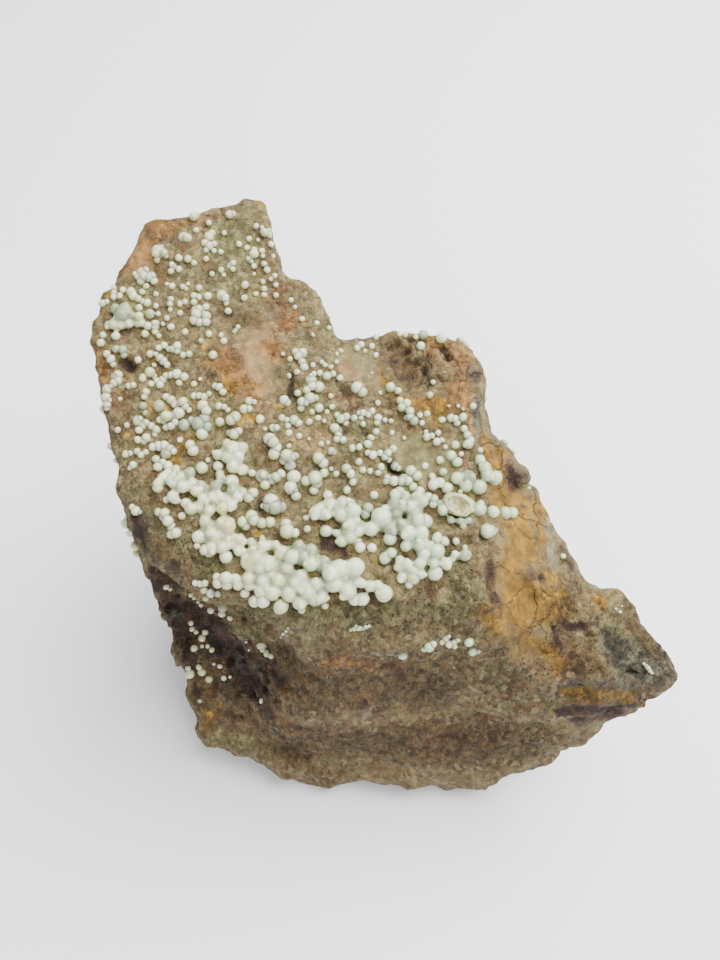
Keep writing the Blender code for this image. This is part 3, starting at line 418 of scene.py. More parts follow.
@dataclass(frozen=True)
class PictureView:
    """The camera's place and lens, found from the picture's perspective."""

    eye: tuple[float, float, float] = (-2.91, -48.58, 112.2)
    pitch_deg: float = 58.3
    focal_px: float = 907.0
    width_px: float = 720.0
    height_px: float = 960.0
    sensor_mm: float = 36.0
    clip_m: tuple[float, float] = (0.01, 10.0)

    @property
    def tilt(self) -> tuple[float, float]:
        """Sine and cosine of the angle by which the camera looks down."""
        angle = math.radians(self.pitch_deg)
        return math.sin(angle), math.cos(angle)

    def ray(self, u: float, v: float) -> tuple[Vector, Vector]:
        """Sight line through a point of the picture.

        Args:
            u: Distance from the picture's left edge, in px.
            v: Distance from its top edge, in px.

        Returns:
            The eye and the unit direction of the line.
        """
        a = (u - self.width_px / 2) / self.focal_px
        b = (v - self.height_px / 2) / self.focal_px
        s, c = self.tilt
        return Vector(self.eye), Vector((a, c - b * s, -s - b * c)).normalized()

    def depth(self, points: np.ndarray) -> np.ndarray:
        """Distance of points in front of the lens, along its axis, in mm."""
        s, c = self.tilt
        return (points - np.array(self.eye)) @ np.array([0.0, c, -s])

    def millimetres(self, px: float, point: Vector) -> float:
        """Real length of a short stretch of the picture at a point."""
        return px * float(self.depth(np.array([point[:]]))[0]) / self.focal_px

    def place(self) -> None:
        """Make the scene's camera."""
        data = bpy.data.cameras.new("picture_view")
        data.sensor_width = self.sensor_mm
        data.lens = self.focal_px * self.sensor_mm / self.height_px
        data.clip_start, data.clip_end = self.clip_m
        camera = bpy.data.objects.new("picture_view", data)
        camera.location = Vector(self.eye) * MM
        camera.rotation_euler = (math.radians(90.0 - self.pitch_deg), 0.0, 0.0)
        bpy.context.scene.collection.objects.link(camera)
        bpy.context.scene.camera = camera


@dataclass(frozen=True)
class Landing:
    """Where a sight line meets the specimen, in mm."""

    point: Vector
    normal: Vector
    sight: Vector
    node: str


@dataclass
class Bead:
    """One spherule, in mm."""

    centre: Vector
    radius: float
    outward: Vector
    kind: BeadKind = BeadKind.PALE
    tone: float = 0.5


@dataclass(frozen=True)
class Layer:
    """One layer of relief: how high it is and how wide its features are."""

    height: float
    width: float


BEAD_GRAIN = Layer(0.055, 0.55)


def read_rows(items: Sequence[object], name: str, width: int, kind: type = float) -> np.ndarray:
    """Read one property of all of a mesh's vertices or edges.

    Args:
        items: The vertices or edges.
        name: The property.
        width: How many numbers each of them holds.
        kind: Type of the numbers.

    Returns:
        One row for each item.
    """
    flat = np.empty(len(items) * width, dtype=kind)
    items.foreach_get(name, flat)
    return flat.reshape(-1, width)


def mesh_points(mesh: bpy.types.Mesh) -> np.ndarray:
    """Vertex places of a mesh, one row each."""
    return read_rows(mesh.vertices, "co", 3)


def vertex_normals(mesh: bpy.types.Mesh) -> np.ndarray:
    """Vertex normals of a mesh, one row each."""
    return read_rows(mesh.vertices, "normal", 3)


def mesh_edges(mesh: bpy.types.Mesh) -> np.ndarray:
    """Vertex pairs of a mesh's edges, one row each."""
    return read_rows(mesh.edges, "vertices", 2, np.int64)


def set_points(mesh: bpy.types.Mesh, points: np.ndarray) -> None:
    """Write vertex places back to a mesh."""
    mesh.vertices.foreach_set("co", points.ravel())
    mesh.update()


def write_field(mesh: bpy.types.Mesh, name: str, values: np.ndarray) -> None:
    """Store one number for each vertex, for a material or a node tree to read."""
    layer = mesh.attributes.new(name, "FLOAT", "POINT")
    layer.data.foreach_set("value", np.asarray(values, dtype=np.float32))


def neighbour_mean(values: np.ndarray, pairs: np.ndarray) -> np.ndarray:
    """Mean of each vertex's neighbours.

    Args:
        values: One row for each vertex.
        pairs: The edges, as pairs of vertices.

    Returns:
        The means, shaped as the values are.
    """
    count = len(values)
    first, second = pairs[:, 0], pairs[:, 1]
    valence = np.bincount(first, minlength=count) + np.bincount(second, minlength=count)
    columns = [np.bincount(first, weights=values[second, i], minlength=count)
               + np.bincount(second, weights=values[first, i], minlength=count)
               for i in range(values.shape[1])]
    return np.stack(columns, 1) / np.maximum(valence, 1)[:, None]


def relax(points: np.ndarray, pairs: np.ndarray, times: int, share: float = 0.5) -> np.ndarray:
    """Smooth points towards their neighbours' mean.

    Args:
        points: One row for each vertex.
        pairs: The edges, as pairs of vertices.
        times: How often they are moved.
        share: How far each time, from 0 to 1.

    Returns:
        The smoothed points.
    """
    for _ in range(times):
        points = points + share * (neighbour_mean(points, pairs) - points)
    return points


def hollow_depth(points: np.ndarray, pairs: np.ndarray, normals: np.ndarray) -> np.ndarray:
    """How far each vertex lies below its neighbours' mean: less than 0 on an edge."""
    return ((neighbour_mean(points, pairs) - points) * normals).sum(1)


def smoothstep(low: float, high: float, values: np.ndarray) -> np.ndarray:
    """Soft step from 0 at low to 1 at high."""
    t = np.clip((values - low) / (high - low), 0.0, 1.0)
    return t * t * (3.0 - 2.0 * t)


def fractal(points: np.ndarray, size: float, octaves: float = 3.0, shift: float = 0.0) -> np.ndarray:
    """Fractal noise at each point, about -1 to 1.

    Args:
        points: Places in mm.
        size: Width of the largest feature in mm.
        octaves: Layers of finer noise.
        shift: Moves the pattern, so that two uses differ.

    Returns:
        One value for each point.
    """
    scaled = points / size + shift
    return np.fromiter((noise.fractal(Vector(p), 1.0, 2.0, octaves) for p in scaled), float, len(scaled))


def tangled(points: np.ndarray, size: float, octaves: float, shift: float, stride: float) -> np.ndarray:
    """Fractal noise in each direction.

    Args:
        points: Places in mm.
        size: Width of the largest feature in mm.
        octaves: Layers of finer noise.
        shift: Moves the first direction's pattern.
        stride: How much further each next one is moved.

    Returns:
        Three values for each point.
    """
    return np.stack([fractal(points, size, octaves, shift + stride * i) for i in range(3)], 1)


def nearest_cell(points: np.ndarray, size: float, shift: float) -> np.ndarray:
    """Distance to the nearest of many scattered cell centres.

    Args:
        points: Places in mm.
        size: Width of a cell in mm.
        shift: Moves the pattern, so that two uses differ.

    Returns:
        One distance for each point, in cell widths.
    """
    scaled = points / size + shift
    return np.fromiter((noise.voronoi(Vector(p))[0][0] for p in scaled), float, len(scaled))


def capsule_distance(points: np.ndarray, start: Vector, end: Vector) -> np.ndarray:
    """Distance from points to the straight line between two ends.

    Args:
        points: Places in mm.
        start: One end in mm.
        end: The other end, which may be the same place.

    Returns:
        One distance for each point, in mm.
    """
    a, b = np.array(start), np.array(end)
    run = b - a
    length = float(run @ run)
    t = np.clip((points - a) @ run / length, 0.0, 1.0) if length > 1e-9 else np.zeros(len(points))
    return np.linalg.norm(points - (a + t[:, None] * run), axis=1)


def link_object(name: str, mesh: bpy.types.Mesh) -> bpy.types.Object:
    """Put a mesh in the scene as an object.

    Args:
        name: The object's name.
        mesh: Its mesh.

    Returns:
        The object.
    """
    obj = bpy.data.objects.new(name, mesh)
    bpy.context.scene.collection.objects.link(obj)
    return obj


def evaluated(obj: bpy.types.Object) -> bpy.types.Mesh:
    """Plain mesh of an object with its modifiers, which are then removed.

    Args:
        obj: The object, which gets that mesh.

    Returns:
        The mesh.
    """
    bpy.context.view_layer.update()
    graph = bpy.context.evaluated_depsgraph_get()
    mesh = bpy.data.meshes.new_from_object(obj.evaluated_get(graph), depsgraph=graph)
    obj.modifiers.clear()
    obj.data = mesh
    return mesh


def node_in_mm(node: str) -> bpy.types.Mesh:
    """Copy of a CAD node's mesh, merged and in mm.

    Args:
        node: The node's name.

    Returns:
        The copy, with no material.
    """
    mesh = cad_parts[node].data.copy()
    bm = bmesh.new()
    bm.from_mesh(mesh)
    bmesh.ops.remove_doubles(bm, verts=bm.verts, dist=1e-7)
    bmesh.ops.scale(bm, vec=(1.0 / MM,) * 3, verts=bm.verts)
    bm.to_mesh(mesh)
    bm.free()
    mesh.materials.clear()
    return mesh


def voxel_mesh(name: str, mesh: bpy.types.Mesh, size: float) -> bpy.types.Object:
    """Rebuild a mesh as one skin of small quads.

    Args:
        name: The object's name.
        mesh: Closed shells, which may overlap.
        size: Width of a quad in mm.

    Returns:
        The object with its new mesh.
    """
    obj = link_object(name, mesh)
    step = obj.modifiers.new("skin", "REMESH")
    step.mode = "VOXEL"
    step.voxel_size = size
    step.use_smooth_shade = True
    evaluated(obj)
    return obj


def keep_largest_shell(mesh: bpy.types.Mesh) -> None:
    """Drop loose crumbs that a remesh can leave beside the main skin.

    Args:
        mesh: The mesh to clean.
    """
    bm = bmesh.new()
    bm.from_mesh(mesh)
    unseen = set(bm.verts)
    shells = []
    while unseen:
        shell, queue = set(), [unseen.pop()]
        while queue:
            vert = queue.pop()
            shell.add(vert)
            for edge in vert.link_edges:
                other = edge.other_vert(vert)
                if other in unseen:
                    unseen.remove(other)
                    queue.append(other)
        shells.append(shell)
    largest = max(shells, key=len)
    crumbs = [v for shell in shells if shell is not largest for v in shell]
    bmesh.ops.delete(bm, geom=crumbs, context="VERTS")
    bm.to_mesh(mesh)
    bm.free()


def finish_piece(obj: bpy.types.Object, material: bpy.types.Material) -> None:
    """Turn a mesh in mm into metres, shade it smooth and give it its material.

    Args:
        obj: The piece.
        material: Its only material.
    """
    mesh = obj.data
    set_points(mesh, mesh_points(mesh) * MM)
    mesh.materials.clear()
    mesh.materials.append(material)
    mesh.polygons.foreach_set("material_index", [0] * len(mesh.polygons))
    mesh.polygons.foreach_set("use_smooth", [True] * len(mesh.polygons))
    mesh.update()


def report(obj: bpy.types.Object) -> None:
    """Log a piece's name and size."""
    obj.data.calc_loop_triangles()
    LOG.info("%s: %d triangles", obj.name, len(obj.data.loop_triangles))


class Ball:
    """A unit ball of triangles that is copied into larger meshes."""

    def __init__(self, subdivisions: int) -> None:
        """Make the ball's corners and triangles once.

        Args:
            subdivisions: How finely it is divided.
        """
        bm = bmesh.new()
        bmesh.ops.create_icosphere(bm, subdivisions=subdivisions, radius=1.0)
        self.points = np.array([v.co[:] for v in bm.verts])
        self.faces = np.array([[v.index for v in f.verts] for f in bm.faces])
        bm.free()

    def copies(self, beads: Sequence[Bead], rng: np.random.Generator, squash: float) -> bpy.types.Mesh:
        """One mesh of slightly uneven balls.

        Args:
            beads: Where the balls are and how large.
            rng: Source of the unevenness.
            squash: How far a ball's axes may differ from its radius, as a share.

        Returns:
            The mesh, in mm.
        """
        points, faces = [], []
        for i, bead in enumerate(beads):
            uneven = rng.uniform(1.0 - squash, 1.0 + squash, 3) * bead.radius
            points.append(self.points * uneven + np.array(bead.centre))
            faces.append(self.faces + i * len(self.points))
        mesh = bpy.data.meshes.new("balls")
        mesh.from_pydata(np.concatenate(points).tolist(), [], np.concatenate(faces).tolist())
        return mesh


class Ground:
    """The surfaces that spherules and stains are placed on."""

    def __init__(self, view: PictureView) -> None:
        """Start with no surface."""
        self.view = view
        self.trees: dict[str, BVHTree] = {}

    def add(self, node: str, mesh: bpy.types.Mesh) -> None:
        """Add or renew a node's surface.

        Args:
            node: The node's name.
            mesh: Its surface, in mm.
        """
        mesh.calc_loop_triangles()
        corners = [tuple(t.vertices) for t in mesh.loop_triangles]
        self.trees[node] = BVHTree.FromPolygons([v.co.copy() for v in mesh.vertices], corners)

    def land(self, u: float, v: float, only: str = "") -> Optional[Landing]:
        """First surface on the sight line through a point of the picture.

        Args:
            u: Distance from the picture's left edge, in px.
            v: Distance from its top edge, in px.
            only: The one node to look for, or every node.

        Returns:
            The place, or None where the line misses.
        """
        eye, sight = self.view.ray(u, v)
        best = None
        for node, tree in self.trees.items():
            if only and node != only:
                continue
            point, normal, _, distance = tree.ray_cast(eye, sight, SIGHT_REACH)
            if point is not None and (best is None or distance < best[0]):
                best = (distance, Landing(point, normal, sight, node))
        return best[1] if best else None

    def capsules(self, row: Sequence[float], step: float = 14.0) -> list[tuple[Vector, Vector, float]]:
        """Short capsules in mm that follow the surface under one given in px.

        Args:
            row: First u and v, last u and v, and half width.
            step: Longest run of one short capsule in px.

        Returns:
            Two ends and the half width of each.
        """
        u, v, last_u, last_v, half_width = row
        parts = max(1, math.ceil(math.hypot(last_u - u, last_v - v) / step))
        found = []
        for i in range(parts + 1):
            share = i / parts
            spot = self.land(u + (last_u - u) * share, v + (last_v - v) * share)
            if spot is not None:
                found.append(spot.point)
        if not found:
            LOG.warning("capsule off the rock: %s", row)
            return []
        width = self.view.millimetres(half_width, found[0])
        return [(a, b, width) for a, b in zip(found, found[1:] or found)]


class NodeGraph:
    """Adds and joins the nodes of one material."""

    upright: float = 0.65

    def __init__(self, name: str) -> None:
        """Start a material whose patterns are in mm, and drawn out upwards by 1 / upright.

        Args:
            name: The material's name.
        """
        self.material = bpy.data.materials.new(name)
        self.material.use_nodes = True
        self.tree = self.material.node_tree
        self.shader = self.tree.nodes["Principled BSDF"]
        coordinates = self.tree.nodes.new("ShaderNodeTexCoord")
        scale = self.tree.nodes.new("ShaderNodeMapping")
        scale.inputs["Scale"].default_value = (1.0 / MM, 1.0 / MM, self.upright / MM)
        self.join(coordinates.outputs["Object"], scale.inputs["Vector"])
        self.place = scale.outputs["Vector"]

    def join(self, start: Socket, end: Socket) -> None:
        """Link two sockets."""
        self.tree.links.new(start, end)

    def feed(self, socket: Socket, value: object) -> None:
        """Link a socket to another, or set its value.

        Args:
            socket: The input to feed.
            value: A socket, or what the input is to hold.
        """
        if isinstance(value, Socket):
            self.join(value, socket)
        else:
            socket.default_value = value

    def noise(self, size: float, detail: float = 5.0, rough: float = 0.55,
              shift: float = 0.0, warp: float = 0.0) -> Socket:
        """Cloudy pattern.

        Args:
            size: Width of its largest features in mm.
            detail: Layers of finer noise.
            rough: Strength of the finer layers.
            shift: Moves the pattern, so that two uses differ.
            warp: How far the pattern is swirled.

        Returns:
            A number from 0 to 1.
        """
        place = self.place
        if shift:
            move = self.tree.nodes.new("ShaderNodeMapping")
            move.inputs["Location"].default_value = (shift, -shift * 0.7, shift * 1.3)
            self.join(self.place, move.inputs["Vector"])
            place = move.outputs["Vector"]
        node = self.tree.nodes.new("ShaderNodeTexNoise")
        node.inputs["Scale"].default_value = 1.0 / size
        node.inputs["Detail"].default_value = detail
        node.inputs["Roughness"].default_value = rough
        node.inputs["Distortion"].default_value = warp
        self.join(place, node.inputs["Vector"])
        return node.outputs["Fac"]

    def warped(self, size: float, reach: float) -> Socket:
        """Place in mm, pushed about.

        Args:
            size: Width of the pushes in mm.
            reach: Longest push in mm.

        Returns:
            The pushed place.
        """
        node = self.tree.nodes.new("ShaderNodeTexNoise")
        node.inputs["Scale"].default_value = 1.0 / size
        node.inputs["Detail"].default_value = 3.0
        self.join(self.place, node.inputs["Vector"])
        push = self.tree.nodes.new("ShaderNodeVectorMath")
        push.operation = "MULTIPLY_ADD"
        push.inputs[1].default_value = (2.0 * reach,) * 3
        self.join(node.outputs["Color"], push.inputs[0])
        self.join(self.place, push.inputs[2])
        return push.outputs["Vector"]

    def crumbs(self, size: float) -> tuple[Socket, ...]:
        """Pattern of crumbs.

        Args:
            size: Width of a crumb in mm.

        Returns:
            Three random numbers for each crumb, and the distance from its middle.
        """
        node = self.tree.nodes.new("ShaderNodeTexVoronoi")
        node.inputs["Scale"].default_value = 1.0 / size
        self.join(self.warped(0.5 * size, 0.45 * size), node.inputs["Vector"])
        split = self.tree.nodes.new("ShaderNodeSeparateColor")
        self.join(node.outputs["Color"], split.inputs["Color"])
        return (*split.outputs, node.outputs["Distance"])

    def crack_lines(self, size: float, width: float) -> Socket:
        """Thin lines between plates.

        Args:
            size: Width of a plate in mm.
            width: Width of a line in mm.

        Returns:
            1 on the lines and 0 off them.
        """
        node = self.tree.nodes.new("ShaderNodeTexVoronoi")
        node.feature = "DISTANCE_TO_EDGE"
        node.inputs["Scale"].default_value = 1.0 / size
        self.join(self.warped(0.35 * size, 0.30 * size), node.inputs["Vector"])
        return self.span(node.outputs["Distance"], width / size, 0.0)

    def field(self, name: str) -> Socket:
        """Number stored on the mesh.

        Args:
            name: The name it is stored under.

        Returns:
            The number.
        """
        node = self.tree.nodes.new("ShaderNodeAttribute")
        node.attribute_name = name
        return node.outputs["Fac"]

    def _math(self, how: str, first: object, second: object) -> Socket:
        """Arithmetic on two numbers.

        Args:
            how: Blender's name of the operation.
            first: A socket or a number.
            second: A socket or a number.

        Returns:
            The answer.
        """
        node = self.tree.nodes.new("ShaderNodeMath")
        node.operation = how
        self.feed(node.inputs[0], first)
        self.feed(node.inputs[1], second)
        return node.outputs[0]

    def plus(self, first: object, second: object) -> Socket:
        """Sum of two numbers."""
        return self._math("ADD", first, second)

    def minus(self, first: object, second: object) -> Socket:
        """Difference of two numbers."""
        return self._math("SUBTRACT", first, second)

    def times(self, first: object, second: object) -> Socket:
        """Product of two numbers."""
        return self._math("MULTIPLY", first, second)

    def span(self, value: Socket, low: float, high: float,
             to_low: float = 0.0, to_high: float = 1.0) -> Socket:
        """Soft step of a number.

        Args:
            value: The number.
            low: Where the step starts.
            high: Where it ends, which may be below its start.
            to_low: The answer at the start.
            to_high: The answer at the end.

        Returns:
            The stepped number.
        """
        node = self.tree.nodes.new("ShaderNodeMapRange")
        node.interpolation_type = "SMOOTHSTEP"
        for name, number in (("From Min", low), ("From Max", high), ("To Min", to_low), ("To Max", to_high)):
            node.inputs[name].default_value = number
        self.join(value, node.inputs["Value"])
        return node.outputs["Result"]

    def mix(self, share: object, first: object, second: object, blend: str = "MIX") -> Socket:
        """Mix of two colours.

        Args:
            share: How much of the second colour, from 0 to 1.
            first: A socket or a colour.
            second: A socket or a colour.
            blend: Blender's name of the way they mix.

        Returns:
            The mixed colour.
        """
        node = self.tree.nodes.new("ShaderNodeMix")
        node.data_type = "RGBA"
        node.blend_type = blend
        self.feed(node.inputs["Factor"], share)
        for name, value in (("A", first), ("B", second)):
            socket = next(s for s in node.inputs if s.name == name and s.type == "RGBA")
            self.feed(socket, (*value, 1.0) if isinstance(value, tuple) else value)
        return next(s for s in node.outputs if s.type == "RGBA")

    def grey(self, value: Socket) -> Socket:
        """Neutral colour as bright as a number.

        Args:
            value: The number.

        Returns:
            The colour.
        """
        node = self.tree.nodes.new("ShaderNodeCombineColor")
        for socket in node.inputs:
            self.join(value, socket)
        return node.outputs["Color"]

    def bump(self, height: Socket, deep: float, strength: float) -> None:
        """Give the shading a fine relief.

        Args:
            height: The relief, as a number.
            deep: What 1 in it stands for, in mm.
            strength: How strongly it shows.
        """
        node = self.tree.nodes.new("ShaderNodeBump")
        node.inputs["Strength"].default_value = strength
        node.inputs["Distance"].default_value = deep * MM
        self.join(height, node.inputs["Height"])
        self.join(node.outputs["Normal"], self.shader.inputs["Normal"])


@dataclass(frozen=True)
class RockPatterns:
    """Patterns that several layers of the rock's finish share."""

    broad: Socket
    middle: Socket
    fine: Socket
    grain: Socket
    rough: Socket
    busy: Socket
    crumbs: tuple[Socket, ...]

    @classmethod
    def draw(cls, g: NodeGraph) -> "RockPatterns":
        """Add the patterns to a material.

        Args:
            g: The material's nodes.

        Returns:
            The patterns; busy is low where the rock is smooth.
        """
        return cls(
            broad=g.noise(9.0, 4.0, 0.6, warp=0.4),
            middle=g.noise(2.6, 4.0, 0.66, shift=3.0, warp=0.3),
            fine=g.noise(0.60, 5.0, 0.74, shift=7.0),
            grain=g.noise(0.17, 3.0, 0.75, shift=21.0),
            rough=g.span(g.field("rough"), 0.0, 1.0),
            busy=g.span(g.span(g.field("plain"), 0.15, 0.85), 0.0, 1.0, 1.0, 0.30),
            crumbs=g.crumbs(0.46),
        )


@dataclass(frozen=True)
class RockFinish:
    """Iron-stained rock: a khaki ground with named stain colours and painted shade marks over it, and painted
    shade in its hollows and pores.
    """

    name: str = "iron_stained_rock"
    ground_dark: Colour = (0.080, 0.048, 0.018)
    ground_mid: Colour = (0.180, 0.144, 0.053)
    ground_light: Colour = (0.318, 0.275, 0.128)
    ground_green: Colour = (0.155, 0.138, 0.062)
    earth: Colour = (0.072, 0.043, 0.016)
    earth_light: Colour = (0.165, 0.121, 0.054)
    pale_grain: Colour = (0.280, 0.232, 0.132)
    khaki: Colour = (0.190, 0.160, 0.062)
    brown: Colour = (0.110, 0.064, 0.024)
    red_grain: Colour = (0.170, 0.075, 0.030)
    # Near-black for dark crack lines, and for painted shade in hollows and pores.
    dirt_and_painted_shade: Colour = (0.030, 0.018, 0.010)
    roughness: float = 0.86
    sheen: float = 0.35
    relief_mm: float = 0.34
    stain_and_shade_colours: dict[StainAndPaintedShade, tuple[Colour, Colour, float]] = field(default_factory=lambda: {
        StainAndPaintedShade.TAN: ((0.195, 0.115, 0.044), (0.325, 0.212, 0.094), 0.80),
        StainAndPaintedShade.OLIVE: ((0.090, 0.080, 0.028), (0.205, 0.186, 0.076), 0.80),
        StainAndPaintedShade.RUST: ((0.105, 0.042, 0.015), (0.200, 0.096, 0.038), 0.68),
        StainAndPaintedShade.SIENNA: ((0.150, 0.064, 0.014), (0.335, 0.172, 0.050), 0.82),
        StainAndPaintedShade.OCHRE: ((0.140, 0.069, 0.008), (0.268, 0.145, 0.014), 0.95),
        StainAndPaintedShade.UMBER: ((0.050, 0.029, 0.010), (0.125, 0.076, 0.029), 0.78),
        StainAndPaintedShade.PLUM: ((0.020, 0.009, 0.008), (0.062, 0.030, 0.022), 0.90),
        StainAndPaintedShade.PALE: ((0.140, 0.112, 0.065), (0.240, 0.198, 0.128), 0.70),
        StainAndPaintedShade.SLATE: ((0.034, 0.037, 0.030), (0.120, 0.118, 0.090), 0.72),
        StainAndPaintedShade.GOLD: ((0.400, 0.185, 0.010), (0.520, 0.300, 0.030), 0.90),
        # Painted shade in holes: near black.
        StainAndPaintedShade.PAINTED_HOLE_SHADE: ((0.012, 0.011, 0.008), (0.040, 0.036, 0.024), 0.78),
    })

    def material(self) -> bpy.types.Material:
        """Build the rock's material.

        Returns:
            The material, which reads the fields that the rock mass stores.
        """
        g = NodeGraph(self.name)
        p = RockPatterns.draw(g)
        colour = self._ground(g, p)
        colour = self._tint_crumbs(g, p, colour)
        colour = self._stain_and_shade(g, p, colour)
        colour = self._mottle(g, p, colour)
        cracks = g.times(g.crack_lines(4.2, 0.16), g.span(g.field("cracked"), 0.2, 0.8, 0.0, 0.60))
        cracks = g.times(cracks, g.span(p.broad, 0.40, 0.60))
        pores = g.times(g.span(g.noise(0.26, 3.0, 0.7, shift=31.0), 0.58, 0.67),
                        g.times(g.plus(p.rough, 0.45), p.busy))
        # Crack lines are dark joints; the hollow and pore darkening below is painted shade.
        colour = g.mix(cracks, colour, self.dirt_and_painted_shade)
        colour = g.mix(g.span(g.field("hollow"), 0.10, 0.95, 0.0, 0.80), colour, self.dirt_and_painted_shade)
        colour = g.mix(g.span(g.field("edge"), 0.2, 1.0, 0.0, 0.28), colour, self.ground_light)
        colour = g.mix(g.times(pores, 0.90), colour, self.dirt_and_painted_shade)
        g.join(colour, g.shader.inputs["Base Color"])
        g.join(g.span(p.grain, 0.35, 0.75, self.roughness + 0.08, self.roughness - 0.20),
               g.shader.inputs["Roughness"])
        g.shader.inputs["Specular IOR Level"].default_value = self.sheen
        g.bump(g.minus(self._relief(g, p, pores), cracks), self.relief_mm, 1.0)
        return g.material

    def _ground(self, g: NodeGraph, p: RockPatterns) -> Socket:
        """Khaki ground, greener in broad patches, browner and darker low down.

        Args:
            g: The material's nodes.
            p: The shared patterns.

        Returns:
            The colour.
        """
        colour = g.mix(g.span(p.middle, 0.36, 0.60), self.ground_dark, self.ground_mid)
        colour = g.mix(g.span(p.fine, 0.47, 0.72, 0.0, 0.85), colour, self.ground_light)
        colour = g.mix(g.span(p.broad, 0.50, 0.72, 0.0, 0.55), colour, self.ground_green)
        earth = g.mix(g.span(p.middle, 0.38, 0.60), self.earth, self.earth_light)
        return g.mix(g.span(g.field("low"), 0.1, 0.9, 0.0, 0.75), colour, earth)

    def _tint_crumbs(self, g: NodeGraph, p: RockPatterns, colour: Socket) -> Socket:
        """Tint single patches and crumbs, most on rough rock.

        Args:
            g: The material's nodes.
            p: The shared patterns.
            colour: The colour so far.

        Returns:
            The tinted colour.
        """
        share = g.times(g.plus(g.times(p.rough, 0.32), 0.27), p.busy)
        khaki_patch, brown_patch, _, _ = g.crumbs(1.5)
        pale_crumb, red_crumb, _, _ = p.crumbs
        tints = ((khaki_patch, 0.55, self.khaki), (brown_patch, 0.60, self.brown),
                 (pale_crumb, 0.66, self.pale_grain), (red_crumb, 0.72, self.red_grain))
        for number, limit, tint in tints:
            colour = g.mix(g.times(g.span(number, limit, limit + 0.10), share), colour, tint)
        return colour

    def _stain_and_shade(self, g: NodeGraph, p: RockPatterns, colour: Socket) -> Socket:
        """Lay every stain colour and painted shade mark over the ground, with ragged edges.

        Args:
            g: The material's nodes.
            p: The shared patterns.
            colour: The colour so far.

        Returns:
            The stained colour.
        """
        ragged = g.plus(g.times(g.minus(p.fine, 0.5), 1.5), g.times(g.minus(p.middle, 0.5), 1.7))
        speckle = g.noise(1.3, 4.0, 0.68, shift=13.0)
        for stain, (dark, light, strength) in self.stain_and_shade_colours.items():
            amount = g.plus(g.field(stain.value), ragged)
            tint = g.mix(g.span(speckle, 0.38, 0.62), dark, light)
            colour = g.mix(g.span(amount, 0.22, 0.90, 0.0, strength), colour, tint)
        return colour

    def _mottle(self, g: NodeGraph, p: RockPatterns, colour: Socket) -> Socket:
        """Darken and lighten single crumbs and grains.

        Args:
            g: The material's nodes.
            p: The shared patterns.
            colour: The colour so far.

        Returns:
            The mottled colour.
        """
        dark_crumb = p.crumbs[2]
        value = g.times(g.span(dark_crumb, 0.0, 1.0, 1.30, 0.62), g.span(p.grain, 0.25, 0.75, 0.72, 1.30))
        return g.mix(p.busy, colour, g.mix(1.0, colour, g.grey(value), "MULTIPLY"))

    def _relief(self, g: NodeGraph, p: RockPatterns, pores: Socket) -> Socket:
        """Fine relief of the shading.

        Args:
            g: The material's nodes.
            p: The shared patterns.
            pores: 1 in a pore.

        Returns:
            The relief, as a number.
        """
        away_from_crumb = p.crumbs[3]
        relief = g.plus(g.times(p.fine, 1.1), g.times(p.grain, 0.55))
        relief = g.plus(relief, g.times(away_from_crumb, -0.5))
        relief = g.plus(relief, g.times(pores, -0.5))
        return g.times(relief, g.times(g.plus(p.rough, 0.8), p.busy))


@dataclass(frozen=True)
class ApatiteFinish:
    """Waxy, slightly see-through apatite, from cream to pale green."""

    name: str = "waxy_apatite"
    cream: Colour = (0.460, 0.458, 0.232)
    mint: Colour = (0.345, 0.425, 0.240)
    white: Colour = (0.625, 0.672, 0.465)
    grey: Colour = (0.245, 0.290, 0.175)
    yolk: Colour = (0.450, 0.360, 0.120)
    # Painted shade between the beads, in the broken bead's bowl and on the beads' rims.
    painted_bead_shade: Colour = (0.130, 0.125, 0.065)
    roughness: float = 0.30
    subsurface: float = 0.75
    depth_mm: float = 1.1
    scatter: Colour = (1.0, 1.0, 0.8)
    coat: float = 0.30
    coat_roughness: float = 0.16
    relief_mm: float = 0.05
    relief_strength: float = 0.45

    def material(self) -> bpy.types.Material:
        """Build the crusts' material.

        Returns:
            The material, which reads the fields that the bead paint stores.
        """
        g = NodeGraph(self.name)
        cloud = g.noise(1.1, 4.0, 0.55)
        fleck = g.noise(0.18, 4.0, 0.6, shift=5.0)
        tone = g.field("tone")
        side = g.span(g.plus(g.field("mint"), g.times(tone, 0.6)), 0.45, 1.25)
        colour = g.mix(side, self.cream, self.mint)
        layers = (
            (g.span(g.plus(tone, g.times(cloud, 0.5)), 0.72, 1.25, 0.0, 0.85), self.white),
            (g.span(fleck, 0.55, 0.75, 0.0, 0.30), self.white),
            # Painted highlight: whiter where a bead faces the camera.
            (g.span(g.field("painted_light_facing"), 0.35, 1.0, 0.0, 0.65), self.white),
            (g.span(g.plus(tone, g.times(fleck, 0.3)), 0.42, 0.10, 0.0, 0.35), self.grey),
            (g.span(g.field("grey"), 0.2, 0.9, 0.0, 0.85), self.grey),
            (g.span(g.field("yolk"), 0.1, 0.9, 0.0, 0.70), self.yolk),
            # Painted shade in the hollows between beads and in the broken bead's bowl.
            (g.span(g.field("hollow"), 0.10, 0.95, 0.0, 0.80), self.painted_bead_shade),
            # Painted shade on the rims that turn away from the camera.
            (g.span(g.field("painted_light_facing"), 0.25, -0.35, 0.0, 0.65), self.painted_bead_shade),
        )
        for share, tint in layers:
            colour = g.mix(share, colour, tint)
        g.join(colour, g.shader.inputs["Base Color"])
        g.join(g.span(cloud, 0.3, 0.7, self.roughness - 0.08, self.roughness + 0.14),
               g.shader.inputs["Roughness"])
        g.shader.inputs["Subsurface Weight"].default_value = self.subsurface
        g.shader.inputs["Subsurface Radius"].default_value = self.scatter
        g.shader.inputs["Subsurface Scale"].default_value = self.depth_mm * MM
        g.shader.inputs["Coat Weight"].default_value = self.coat
        g.shader.inputs["Coat Roughness"].default_value = self.coat_roughness
        g.bump(g.plus(fleck, g.times(cloud, 0.6)), self.relief_mm, self.relief_strength)
        return g.material


